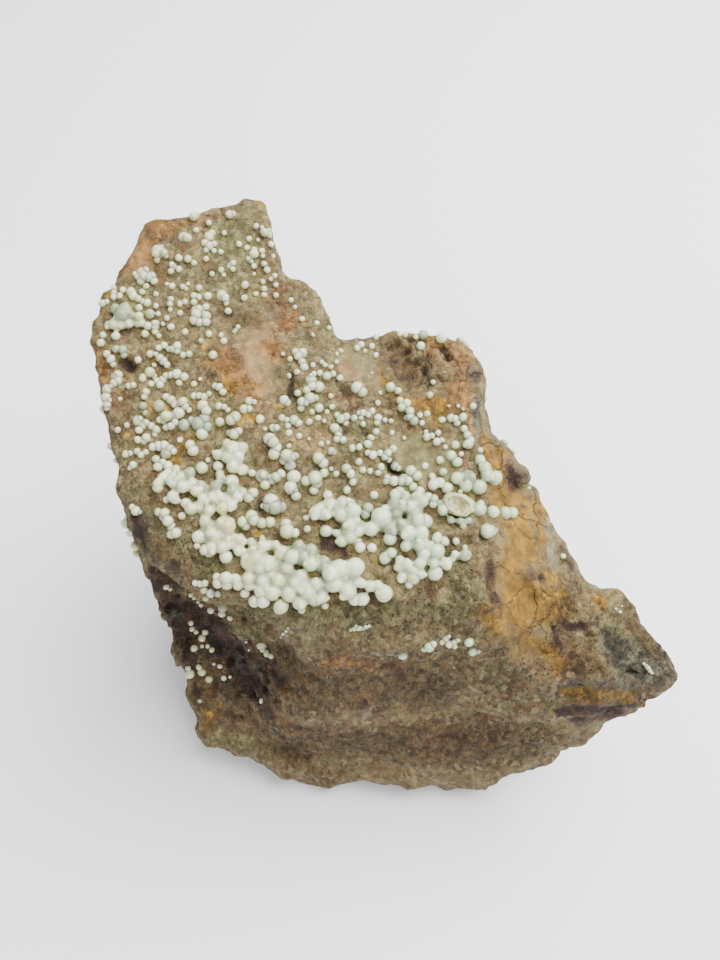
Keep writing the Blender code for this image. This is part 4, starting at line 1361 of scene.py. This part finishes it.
@dataclass
class RockMass:
    """The lump of rock that everything grows on, in mm."""

    view: PictureView
    ground: Ground
    name: str = "rock_mass"
    voxel: float = 0.345
    smoothing: int = 18
    flattening: int = 170
    rest_height: float = 4.5
    base_height: float = 0.05
    wave: Layer = Layer(0.42, 6.5)
    ripple: Layer = Layer(0.26, 2.3)
    grain: Layer = Layer(0.17, 1.15)
    crumb: Layer = Layer(0.16, 1.25)
    pit: Layer = Layer(0.50, 1.5)
    pit_patch: float = 4.0
    plate: tuple[float, float, float] = (3.4, 3.4, 5.6)
    plate_step: float = 0.16
    plate_lean: float = 0.62
    plate_bend: Layer = Layer(0.12, 1.6)
    bend: Layer = Layer(0.75, 2.2)
    patch_edge: float = 0.9
    stain_edge: float = 1.5
    blots: tuple[float, float] = (9.0, 7.0)
    unseen_strength: float = 0.72
    crease: float = 0.07
    earthy: tuple[float, float] = (30.0, 20.0)
    drift: np.ndarray = field(init=False)

    def build(self) -> bpy.types.Object:
        """Make the rock's mesh in mm, with its relief and its stain fields.

        Returns:
            The rock object, still in mm.
        """
        obj = voxel_mesh(self.name, node_in_mm("matrix"), self.voxel)
        mesh = obj.data
        keep_largest_shell(mesh)
        pairs = mesh_edges(mesh)
        base = mesh_points(mesh)
        smooth = relax(base, pairs, self.smoothing)
        self.drift = self.bend.height * tangled(smooth, self.bend.width, 3.0, 17.0, 23.0)
        self._set_ground(mesh, smooth)
        flat = self._spread(smooth, TEXTURES[Texture.FLAT], self.patch_edge)[:, None]
        smooth = smooth + flat * (relax(smooth, pairs, self.flattening) - smooth)
        hold = smoothstep(0.1, self.rest_height, base[:, 2])[:, None]
        points = base + (smooth - base) * hold
        self._set_ground(mesh, points)
        texture = {t: self._spread(points, TEXTURES[t], self.patch_edge) for t in Texture}
        normals = vertex_normals(mesh)
        plates = relax(self._facets(points)[:, None], pairs, 3)[:, 0] * texture[Texture.CRACKED]
        height = self._relief(points, normals, texture) + self._lump_height(points) + plates
        moved = points + normals * (height[:, None] * hold)
        moved[:, 2] = np.maximum(moved[:, 2], 0.0)
        moved[base[:, 2] < self.base_height, 2] = 0.0
        moved = relax(moved, pairs, 1, 0.25)
        moved[:, 2] = np.maximum(moved[:, 2], 0.0)
        self._set_ground(mesh, moved)
        self._store_fields(mesh, moved, pairs, texture)
        return obj

    def dress(self, stone: bpy.types.Object, material: bpy.types.Material) -> None:
        """Finish the rock in metres, in the place of the CAD's rock.

        Args:
            stone: The rock object in mm.
            material: The rock finish.
        """
        finish_piece(stone, material)
        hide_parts("matrix")
        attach(stone, "root")
        report(stone)

    def _set_ground(self, mesh: bpy.types.Mesh, points: np.ndarray) -> None:
        """Move the mesh to new points, and the surface that things land on with it."""
        set_points(mesh, points)
        self.ground.add("matrix", mesh)

    def _spread(self, points: np.ndarray, rows: Iterable[Sequence[float]], soft: float) -> np.ndarray:
        """Strength of a set of capsules at each point.

        Args:
            points: Places in mm.
            rows: Capsules in px.
            soft: How far the edge fades, as a share of the half width.

        Returns:
            1 well inside a capsule and 0 outside it.
        """
        total = np.zeros(len(points))
        bent = points + self.drift
        for row in rows:
            for start, end, width in self.ground.capsules(row):
                distance = capsule_distance(bent, start, end) / width
                total = np.maximum(total, np.clip((1.0 + soft / 2 - distance) / soft, 0.0, 1.0))
        return total

    def _lump_height(self, points: np.ndarray) -> np.ndarray:
        """How far the swellings and hollows move each point.

        Args:
            points: Places in mm.

        Returns:
            Heights in mm.
        """
        total = np.zeros(len(points))
        bent = points + self.drift
        for *row, height in LUMPS:
            near = np.zeros(len(points))
            for start, end, width in self.ground.capsules(row):
                away = capsule_distance(bent, start, end) / width
                near = np.maximum(near, 1.0 - smoothstep(0.35, 1.15, away))
            total += height * near
        return total

    def _relief(self, points: np.ndarray, normals: np.ndarray,
                texture: dict[Texture, np.ndarray]) -> np.ndarray:
        """Height of the surface over the plain form.

        Args:
            points: Places in mm.
            normals: The surface's normals there.
            texture: Strength of each texture there.

        Returns:
            Heights in mm.
        """
        rough = np.maximum(texture[Texture.ROUGH], self._hidden(points, normals))
        pitted, plain, flat = (texture[t] for t in (Texture.PITTED, Texture.SMOOTH, Texture.FLAT))
        calm = 1.0 - 0.65 * plain
        height = self.wave.height * fractal(points, self.wave.width, 2.0) * calm * (1.0 - 0.5 * flat)
        height += self.ripple.height * fractal(points, self.ripple.width, 2.0, 5.0) * calm
        height += self.grain.height * fractal(points, self.grain.width, 2.0, 9.0) * (0.6 + 1.1 * rough) * calm
        crumbs = 0.45 - nearest_cell(points, self.crumb.width, 3.0)
        height += self.crumb.height * (0.25 + rough) * crumbs * calm
        away = nearest_cell(points, self.pit.width, 29.0)
        patches = fractal(points, self.pit_patch, 2.0, 40.0) + 0.25 * rough + 0.6 * pitted
        deep = self.pit.height * (0.35 + 0.9 * pitted) * smoothstep(0.05, 0.35, patches)
        height -= deep * (1.0 - smoothstep(0.12, 0.42, away)) * calm
        return height

    def _facets(self, points: np.ndarray) -> np.ndarray:
        """Height of tilted plates that lie over one another.

        Args:
            points: Places in mm.

        Returns:
            Heights in mm.
        """
        bend = self.plate_bend
        bent = points / self.plate + bend.height * tangled(points, bend.width, 2.0, 70.0, 9.0)
        heights = np.empty(len(points))
        for i, place in enumerate(bent):
            seed = noise.voronoi(Vector(place))[1][0]
            lean = Vector((math.sin(seed.x * 9.1 + seed.z * 3.7), math.sin(seed.y * 7.3 + 1.9 * seed.x),
                           math.sin(seed.z * 8.9 + 2.3 * seed.y)))
            step = self.plate_step * math.sin(seed.x * 5.3 + seed.y * 6.1 + seed.z * 4.3)
            heights[i] = step + self.plate_lean * lean.dot(Vector(place) - seed)
        return heights

    def _hidden(self, points: np.ndarray, normals: np.ndarray) -> np.ndarray:
        """Which of the rock's sides the picture doesn't show.

        Args:
            points: Places in mm.
            normals: The surface's normals there.

        Returns:
            1 on the broken sides and back, 0 on what faces the camera.
        """
        toward = np.array(self.view.eye) - points
        toward /= np.linalg.norm(toward, axis=1)[:, None]
        return 1.0 - smoothstep(-0.05, 0.25, (toward * normals).sum(1))

    def _store_fields(self, mesh: bpy.types.Mesh, points: np.ndarray, pairs: np.ndarray,
                      texture: dict[Texture, np.ndarray]) -> None:
        """Write the stain and painted shade fields, the hollows that get painted shade, and the edges that
        the material reads.

        Args:
            mesh: The finished rock in mm.
            points: Its vertices' places.
            pairs: Its edges.
            texture: Strength of each texture at its vertices.
        """
        normals = vertex_normals(mesh)
        hidden = self._hidden(points, normals)
        blot = fractal(points, self.blots[0], 3.0, 60.0)
        other_blot = fractal(points, self.blots[1], 3.0, 80.0)
        unseen = {
            StainAndPaintedShade.OCHRE: smoothstep(0.20, 0.55, blot), StainAndPaintedShade.RUST: smoothstep(0.12, 0.45, -blot),
            StainAndPaintedShade.OLIVE: smoothstep(0.15, 0.45, other_blot), StainAndPaintedShade.UMBER: 0.55 * np.ones(len(points)),
            StainAndPaintedShade.PALE: smoothstep(0.35, 0.55, -other_blot),
        }
        for stain, rows in STAIN_AND_SHADE_CAPSULES.items():
            values = self._spread(points, rows, self.stain_edge)
            if stain in unseen:
                values = np.maximum(values, self.unseen_strength * hidden * unseen[stain])
            write_field(mesh, stain.value, values)
        # The hollow field drives painted shade in the rock's creases; the edge field lightens convex edges as
        # wear.
        depth = neighbour_mean(hollow_depth(points, pairs, normals)[:, None], pairs)[:, 0]
        write_field(mesh, "hollow", np.clip(depth / self.crease, 0.0, 1.0))
        write_field(mesh, "edge", np.clip(-depth / self.crease, 0.0, 1.0))
        write_field(mesh, "rough", np.maximum(texture[Texture.ROUGH], 0.8 * hidden))
        write_field(mesh, "cracked", np.maximum(texture[Texture.CRACKED], 0.7 * hidden))
        write_field(mesh, "plain", texture[Texture.SMOOTH])
        write_field(mesh, "low", smoothstep(*self.earthy, points[:, 2]))


class BeadPaint:
    """Stores on a mesh of spherules which colour each one has, and how far each point faces the camera, for
    painted light.
    """

    batch: int = 4000

    def __init__(self, beads: Sequence[Bead]) -> None:
        """List the spherules' places and looks as arrays.

        Args:
            beads: The spherules, in mm.
        """
        self.places = np.array([b.centre[:] for b in beads])
        self.radii = np.array([b.radius for b in beads])
        self.outward = np.array([b.outward[:] for b in beads])
        self.tones = np.array([b.tone for b in beads])
        self.greys = np.array([float(b.kind is BeadKind.GREY) for b in beads])
        self.yolks = np.array([float(b.kind is BeadKind.YOLK) for b in beads])

    def write(self, mesh: bpy.types.Mesh) -> None:
        """Store tone, grey, yolk, core and mint for each vertex of a mesh in mm.

        Args:
            mesh: Spherules, each vertex on or near one.
        """
        points = mesh_points(mesh)
        owner = np.empty(len(points), dtype=np.int64)
        for i in range(0, len(points), self.batch):
            block = points[i:i + self.batch]
            away = np.linalg.norm(block[:, None, :] - self.places[None], axis=2)
            owner[i:i + self.batch] = np.abs(away - self.radii).argmin(1)
        out = points - self.places[owner]
        out /= np.linalg.norm(out, axis=1)[:, None]
        facing = (out * self.outward[owner]).sum(1)
        write_field(mesh, "tone", self.tones[owner])
        write_field(mesh, "grey", self.greys[owner])
        write_field(mesh, "yolk", self.yolks[owner] * smoothstep(0.70, 0.92, facing))
        # How far each point faces the camera: the material paints a highlight on the facing middle and shade
        # on the rims.
        write_field(mesh, "painted_light_facing", facing)
        write_field(mesh, "mint", smoothstep(-24.0, 4.0, points[:, 0]))


@dataclass
class Druse:
    """All spherules, sorted by what they grow on, in mm."""

    view: PictureView
    ground: Ground
    rng: np.random.Generator
    lift: float = 0.26
    steepest: float = 0.45
    swell: float = 0.99
    far_swell: float = 0.90
    far_row: float = 380.0
    crowd_reach: float = 3.2
    full_crowd: float = 2.5
    pile: float = 0.8
    least_rise: float = 0.25
    touching: float = 0.45
    gap_reach: float = 1.35
    gap_size: float = 0.85
    gap_sink: float = 0.75
    bud_parent: float = 0.42
    bud_share: float = 0.6
    bud_lean: tuple[float, float] = (0.5, 1.25)
    bud_size: tuple[float, float] = (0.32, 0.52)
    bud_sink: float = 0.25
    fused_clear: float = 0.8
    fused_size: float = 1.04
    hidden_count: int = 120
    hidden_tries: int = 6000
    hidden_heights: tuple[float, float] = (14.0, 47.0)
    hidden_radius: tuple[float, float] = (0.26, 0.58)
    hidden_lift: float = 0.35
    hidden_from: float = 60.0
    hidden_reach: float = 200.0
    overhang: float = -0.25
    sight_slack: float = 0.4
    on: dict[str, list[Bead]] = field(default_factory=dict)

    def gather(self) -> None:
        """Seat every listed spherule, and pile up those that crowd a crust."""
        for node in ("matrix", *CRUST_NODES):
            self.on[node] = []
        for kind, rows in BEADS.items():
            for u, v, px in rows:
                self._seat(kind, u, v, px)
        for node in CRUST_NODES:
            self._pile(self.on[node])
        self._add_fused()
        self._add_hidden()

    def _seat(self, kind: BeadKind, u: float, v: float, px: float) -> None:
        """Seat one spherule on the rock behind its middle.

        Args:
            kind: How it looks.
            u: Distance from the picture's left edge, in px.
            v: Distance from its top edge, in px.
            px: Its radius in px.
        """
        landing = self.ground.land(u, v)
        if landing is None:
            LOG.warning("spherule off the specimen: %s %s", u, v)
            return
        rock = self.ground.land(u, v, "matrix") or landing
        swell = self.far_swell if v < self.far_row else self.swell
        radius = self.view.millimetres(px * swell, rock.point)
        facing = max(self.steepest, -rock.sight.dot(rock.normal))
        centre = rock.point - rock.sight * (self.lift * radius / facing)
        tone = float(self.rng.random())
        self.on[landing.node].append(Bead(centre, radius, -rock.sight, kind, tone))

    def _pile(self, beads: list[Bead]) -> None:
        """Raise spherules where they crowd, along their sight line, with others under them.

        Args:
            beads: One crust's spherules, to which the added ones go.
        """
        places = np.array([b.centre[:] for b in beads])
        radii = np.array([b.radius for b in beads])
        supports = []
        for bead in beads:
            near = np.linalg.norm(places - np.array(bead.centre), axis=1)
            crowd = float(np.clip(1.0 - near / (self.crowd_reach * radii), 0.0, 1.0).sum()) - 1.0
            rise = bead.radius * self.pile * min(1.0, crowd / self.full_crowd) * self.rng.uniform(0.3, 1.0)
            if rise > self.least_rise * bead.radius:
                supports.append(Bead(bead.centre.copy(), bead.radius, bead.outward, bead.kind, bead.tone))
            bead.centre = bead.centre + bead.outward * rise
        beads.extend(supports)
        buds = self._buds(beads)
        beads.extend(self._fillers(beads))
        beads.extend(buds)

    def _buds(self, beads: list[Bead]) -> list[Bead]:
        """Small spherules that stand on the larger ones.

        Args:
            beads: One crust's spherules.

        Returns:
            The small ones.
        """
        made = []
        for bead in beads:
            if bead.radius < self.bud_parent or self.rng.random() > self.bud_share:
                continue
            turn = self.rng.uniform(0.0, 2.0 * math.pi)
            lean = self.rng.uniform(*self.bud_lean)
            across = bead.outward.orthogonal().normalized()
            way = across * math.cos(turn) + bead.outward.cross(across) * math.sin(turn)
            way = bead.outward * math.cos(lean) + way * math.sin(lean)
            radius = bead.radius * self.rng.uniform(*self.bud_size)
            centre = bead.centre + way * (bead.radius - self.bud_sink * radius)
            made.append(Bead(centre, radius, bead.outward, bead.kind, float(self.rng.random())))
        return made

    def _trios(self, beads: list[Bead]) -> Iterator[tuple[Bead, Bead, Bead]]:
        """Every three spherules that stand close together.

        Args:
            beads: One crust's spherules.

        Yields:
            The three.
        """
        places = np.array([b.centre[:] for b in beads])
        radii = np.array([b.radius for b in beads])
        apart = np.linalg.norm(places[:, None] - places[None], axis=2) / (radii[:, None] + radii[None])
        near = (apart > self.touching) & (apart < self.gap_reach)
        for i in range(len(beads)):
            close = [j for j in range(i + 1, len(beads)) if near[i, j]]
            for j, k in combinations(close, 2):
                if near[j, k]:
                    yield beads[i], beads[j], beads[k]

    def _fillers(self, beads: list[Bead]) -> list[Bead]:
        """Lower balls in the gaps between three close neighbours.

        Args:
            beads: One crust's spherules.

        Returns:
            The balls.
        """
        made = []
        for trio in self._trios(beads):
            radius = sum(b.radius for b in trio) / 3 * self.gap_size
            middle = sum((b.centre for b in trio), Vector()) / 3
            tone = sum(b.tone for b in trio) / 3
            outward = trio[0].outward
            centre = middle - outward * (self.gap_sink * radius)
            made.append(Bead(centre, radius, outward, BeadKind.GREY, tone))
        return made

    def _add_fused(self) -> None:
        """Cover the spherules that are part of the rock's own solid."""
        loose = self.on["matrix"]
        for x, y, z, radius in FUSED:
            place = Vector((x, y, z))
            if all((b.centre - place).length > self.fused_clear * b.radius for b in loose):
                tone = float(self.rng.random())
                loose.append(Bead(place, radius * self.fused_size, Vector((0, 0, 1)), BeadKind.PALE, tone))

    def _add_hidden(self) -> None:
        """Grow a few spherules round the rim, where the picture doesn't show it."""
        rock = self.ground.trees["matrix"]
        wanted = self.hidden_count
        tries = 0
        while wanted and tries < self.hidden_tries:
            tries += 1
            start, way = self._inward_line()
            point, normal, _, _ = rock.ray_cast(start, way, self.hidden_reach)
            if point is None or normal.z < self.overhang:
                continue
            crowd = noise.noise(point * 0.16) + 0.035 * (point.z - 34.0)
            if self._in_sight(point) or crowd < self.rng.uniform(0.0, 0.5):
                continue
            radius = float(self.rng.uniform(*self.hidden_radius))
            centre = point + normal * (radius * self.hidden_lift)
            self.on["matrix"].append(Bead(centre, radius, normal, BeadKind.PALE, float(self.rng.random())))
            wanted -= 1

    def _inward_line(self) -> tuple[Vector, Vector]:
        """Random line from beside the specimen towards its middle.

        Returns:
            Where it starts, in mm, and its unit direction.
        """
        angle = self.rng.uniform(0.0, 2.0 * math.pi)
        start = Vector((math.cos(angle) * self.hidden_from, math.sin(angle) * self.hidden_from,
                        self.rng.uniform(*self.hidden_heights)))
        aim = Vector((self.rng.uniform(-16.0, 10.0), self.rng.uniform(-8.0, 12.0), start.z - 4.0))
        return start, (aim - start).normalized()

    def _in_sight(self, point: Vector) -> bool:
        """Whether the camera sees a point of the rock.

        Args:
            point: The point, in mm.

        Returns:
            True where no rock is in front of it.
        """
        eye = Vector(self.view.eye)
        line = point - eye
        hit = self.ground.trees["matrix"].ray_cast(eye, line.normalized(), line.length - self.sight_slack)
        return hit[0] is None


def knobbly(mesh: bpy.types.Mesh, points: np.ndarray) -> np.ndarray:
    """Vertex places of spherules, moved out and in by their fine grain."""
    grain = BEAD_GRAIN.height * fractal(points, BEAD_GRAIN.width, 2.0, 5.0)
    return points + vertex_normals(mesh) * grain[:, None]


@dataclass
class BeadCrust:
    """One crust in which spherules have grown into each other, in mm."""

    node: str
    beads: list[Bead]
    rng: np.random.Generator
    roundness: int = 3
    cell: float = 0.13
    squash: float = 0.06
    crease: float = 0.05

    def build(self, material: bpy.types.Material) -> None:
        """Unite the crust's spherules in one skin.

        Args:
            material: The apatite finish.
        """
        shells = Ball(self.roundness).copies(self.beads, self.rng, self.squash)
        obj = voxel_mesh("beads_" + self.node, shells, self.cell)
        mesh = obj.data
        pairs = mesh_edges(mesh)
        points = knobbly(mesh, relax(mesh_points(mesh), pairs, 1))
        set_points(mesh, points)
        BeadPaint(self.beads).write(mesh)
        # The hollow field gives painted shade between the joined spherules.
        depth = hollow_depth(points, pairs, vertex_normals(mesh))
        write_field(mesh, "hollow", np.clip(depth / self.crease, 0.0, 1.0))
        finish_piece(obj, material)
        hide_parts(self.node)
        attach(obj, "root")
        report(obj)


@dataclass
class LooseSpherules:
    """Single spherules dotted over the rock, made by one node tree from a cloud of points."""

    beads: list[Bead]
    name: str = "loose_spherules"
    subdivisions: int = 2
    squash: float = 0.08
    seed: int = 417

    def _cloud(self) -> bpy.types.Mesh:
        """Points that carry each spherule's radius.

        Returns:
            The points, in mm.
        """
        cloud = bpy.data.meshes.new(self.name + "_points")
        cloud.from_pydata([b.centre[:] for b in self.beads], [], [])
        write_field(cloud, "radius", np.array([b.radius for b in self.beads]))
        return cloud

    def _tree(self, material: bpy.types.Material) -> bpy.types.NodeTree:
        """Node tree that turns points into slightly uneven spherules.

        Args:
            material: The apatite finish.

        Returns:
            The tree, with inputs for the balls' subdivisions, their squash and the seed.
        """
        tree = bpy.data.node_groups.new("spherules_on_points", "GeometryNodeTree")
        for name, way, kind in (
            ("Geometry", "INPUT", "Geometry"), ("Subdivisions", "INPUT", "Int"), ("Squash", "INPUT", "Float"),
            ("Seed", "INPUT", "Int"), ("Geometry", "OUTPUT", "Geometry"),
        ):
            tree.interface.new_socket(name, in_out=way, socket_type="NodeSocket" + kind)
        add = tree.nodes.new
        inputs = add("NodeGroupInput")
        outputs = add("NodeGroupOutput")
        ball = add("GeometryNodeMeshIcoSphere")
        ball.inputs["Radius"].default_value = 1.0
        radius = add("GeometryNodeInputNamedAttribute")
        radius.data_type = "FLOAT"
        radius.inputs["Name"].default_value = "radius"
        low = add("ShaderNodeMath")
        low.operation = "SUBTRACT"
        low.inputs[0].default_value = 1.0
        high = add("ShaderNodeMath")
        high.operation = "ADD"
        high.inputs[0].default_value = 1.0
        uneven = add("FunctionNodeRandomValue")
        uneven.data_type = "FLOAT_VECTOR"
        scale = add("ShaderNodeVectorMath")
        scale.operation = "SCALE"
        turn = add("FunctionNodeRandomValue")
        turn.data_type = "FLOAT_VECTOR"
        turn.inputs["Max"].default_value = (math.pi,) * 3
        on_points = add("GeometryNodeInstanceOnPoints")
        real = add("GeometryNodeRealizeInstances")
        dress = add("GeometryNodeSetMaterial")
        dress.inputs["Material"].default_value = material
        for start, end in (
            (inputs.outputs["Subdivisions"], ball.inputs["Subdivisions"]),
            (inputs.outputs["Squash"], low.inputs[1]),
            (inputs.outputs["Squash"], high.inputs[1]),
            (low.outputs[0], uneven.inputs["Min"]),
            (high.outputs[0], uneven.inputs["Max"]),
            (inputs.outputs["Seed"], uneven.inputs["Seed"]),
            (inputs.outputs["Seed"], turn.inputs["Seed"]),
            (uneven.outputs["Value"], scale.inputs[0]),
            (radius.outputs["Attribute"], scale.inputs["Scale"]),
            (inputs.outputs["Geometry"], on_points.inputs["Points"]),
            (ball.outputs["Mesh"], on_points.inputs["Instance"]),
            (turn.outputs["Value"], on_points.inputs["Rotation"]),
            (scale.outputs["Vector"], on_points.inputs["Scale"]),
            (on_points.outputs["Instances"], real.inputs["Geometry"]),
            (real.outputs["Geometry"], dress.inputs["Geometry"]),
            (dress.outputs["Geometry"], outputs.inputs["Geometry"]),
        ):
            tree.links.new(start, end)
        return tree

    def build(self, material: bpy.types.Material) -> None:
        """Make the spherules.

        Args:
            material: The apatite finish.
        """
        obj = link_object(self.name, self._cloud())
        step = obj.modifiers.new("spherules", "NODES")
        step.node_group = self._tree(material)
        values = {"Subdivisions": self.subdivisions, "Squash": self.squash, "Seed": self.seed}
        for item in step.node_group.interface.items_tree:
            if item.name in values:
                step[item.identifier] = values[item.name]
        mesh = evaluated(obj)
        set_points(mesh, knobbly(mesh, mesh_points(mesh)))
        BeadPaint(self.beads).write(mesh)
        write_field(mesh, "hollow", np.zeros(len(mesh.vertices)))
        finish_piece(obj, material)
        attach(obj, "root")
        report(obj)


@dataclass
class OpenSpherule:
    """A large spherule that has broken open and shows its hollow inside.

    Its half sizes are in mm. The rest are shares of its radius.
    """

    ground: Ground
    middle: tuple[float, float] = (458.0, 504.0)
    half_size: tuple[float, float] = (1.50, 1.14)
    lie: tuple[float, float, float] = (0.94, -0.34, 0.0)
    lift: float = 0.45
    rim: float = 0.70
    bowl: float = 0.44
    ragged: Layer = Layer(0.11, 0.45)
    crumb: Layer = Layer(0.16, 0.22)
    lumpy: Layer = Layer(0.17, 0.7)
    name: str = "open_spherule"

    def build(self, material: bpy.types.Material) -> None:
        """Make the broken shell: the cap beyond the rim is folded inwards.

        Args:
            material: The apatite finish.
        """
        ball = Ball(5)
        edge = self.rim + self.ragged.height * fractal(ball.points, self.ragged.width, 3.0, 3.0)
        crumb = self.crumb.height * fractal(ball.points, self.crumb.width, 3.0, 5.0)
        height = ball.points[:, 2]
        inside = smoothstep(0.0, 0.05, height - edge)
        width = np.linalg.norm(ball.points[:, :2], axis=1) + 1e-9
        to_rim = width / np.sqrt(1.0 - edge ** 2)
        folded = edge - self.bowl * (1.0 - to_rim ** 2) + crumb * inside
        mesh = bpy.data.meshes.new(self.name)
        places = self._placed(ball.points, np.where(height > edge, folded, height))
        mesh.from_pydata(places.tolist(), [], ball.faces.tolist())
        obj = link_object(self.name, mesh)
        write_field(mesh, "tone", np.full(len(places), 0.45))
        write_field(mesh, "grey", np.zeros(len(places)))
        write_field(mesh, "yolk", inside * smoothstep(1.0, 0.5, to_rim) * (0.6 + 2.0 * crumb))
        # Facing towards the camera, for the painted highlight and rim shade.
        write_field(mesh, "painted_light_facing", np.clip(height, -1.0, 0.45))
        write_field(mesh, "mint", np.full(len(places), 0.2))
        # Painted shade inside the broken bowl.
        write_field(mesh, "hollow", 0.35 * inside)
        finish_piece(obj, material)
        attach(obj, "root")
        report(obj)

    def _placed(self, unit: np.ndarray, depth: np.ndarray) -> np.ndarray:
        """Stretch the shell and set it on the rock, open towards the camera.

        Args:
            unit: The ball's corners, 1 from its middle.
            depth: How far along the opening's axis each one goes instead.

        Returns:
            The corners' places in mm.
        """
        landing = self.ground.land(*self.middle, "matrix")
        out = -landing.sight
        across = Vector(self.lie)
        across = (across - out * across.dot(out)).normalized()
        axes = np.array([across[:], out.cross(across)[:], out[:]])
        lumpy = 1.0 + self.lumpy.height * fractal(unit, self.lumpy.width, 2.0, 9.0)
        wide, high = self.half_size
        local = np.stack([unit[:, 0] * wide * lumpy, unit[:, 1] * high * lumpy, depth * high], 1)
        return local @ axes + np.array(landing.point + out * (self.lift * high))


@dataclass(frozen=True)
class Lamp:
    """A square soft light that looks at a point, in metres and watts."""

    name: str
    place: tuple[float, float, float]
    aim: tuple[float, float, float]
    size: float
    power: float

    def build(self) -> None:
        """Put the light in the scene."""
        data = bpy.data.lights.new(self.name, "AREA")
        data.size, data.energy = self.size, self.power
        lamp = bpy.data.objects.new(self.name, data)
        lamp.location = self.place
        lamp.rotation_euler = (Vector(self.aim) - Vector(self.place)).to_track_quat("-Z", "Y").to_euler()
        bpy.context.scene.collection.objects.link(lamp)


@dataclass(frozen=True)
class Studio:
    """Pale floor and soft light, in metres."""

    floor_half: float = 0.9
    floor_colour: Colour = (0.93, 0.93, 0.94)
    floor_roughness: float = 0.9
    sky: float = 0.58
    sky_colour: Colour = (0.96, 0.97, 1.0)
    lamps: tuple[Lamp, ...] = (
        Lamp("top_light", (0.12, 0.08, 0.30), (0.0, 0.0, 0.03), 0.34, 4.1),
        Lamp("front_light", (0.05, -0.34, 0.26), (0.0, 0.0, 0.02), 0.30, 0.9),
    )

    def build(self) -> None:
        """Make the floor, the lights and the surrounding light."""
        self._floor()
        for lamp in self.lamps:
            lamp.build()
        world = bpy.data.worlds.new("room")
        world.use_nodes = True
        background = world.node_tree.nodes["Background"]
        background.inputs["Color"].default_value = (*self.sky_colour, 1.0)
        background.inputs["Strength"].default_value = self.sky
        bpy.context.scene.world = world

    def _floor(self) -> None:
        """Plain sheet under the specimen."""
        half = self.floor_half
        corners = [(-half, -half, 0), (half, -half, 0), (half, half, 0), (-half, half, 0)]
        mesh = bpy.data.meshes.new("floor")
        mesh.from_pydata(corners, [], [(0, 1, 2, 3)])
        floor = link_object("floor", mesh)
        g = NodeGraph("pale_floor")
        g.shader.inputs["Base Color"].default_value = (*self.floor_colour, 1.0)
        g.shader.inputs["Roughness"].default_value = self.floor_roughness
        mesh.materials.append(g.material)


def main() -> None:
    """Build the specimen, its light and its camera."""
    logging.basicConfig(level=logging.INFO, format="%(message)s")
    rng = np.random.default_rng(SEED)
    view = PictureView()
    view.place()
    ground = Ground(view)
    rock = RockMass(view, ground)
    stone = rock.build()
    for node in CRUST_NODES:
        ground.add(node, node_in_mm(node))
    druse = Druse(view, ground, rng)
    druse.gather()
    apatite = ApatiteFinish().material()
    for node in CRUST_NODES:
        BeadCrust(node, druse.on[node], rng).build(apatite)
    LooseSpherules(druse.on["matrix"]).build(apatite)
    OpenSpherule(ground).build(apatite)
    rock.dress(stone, RockFinish().material())
    Studio().build()


if __name__ == "__main__":
    main()
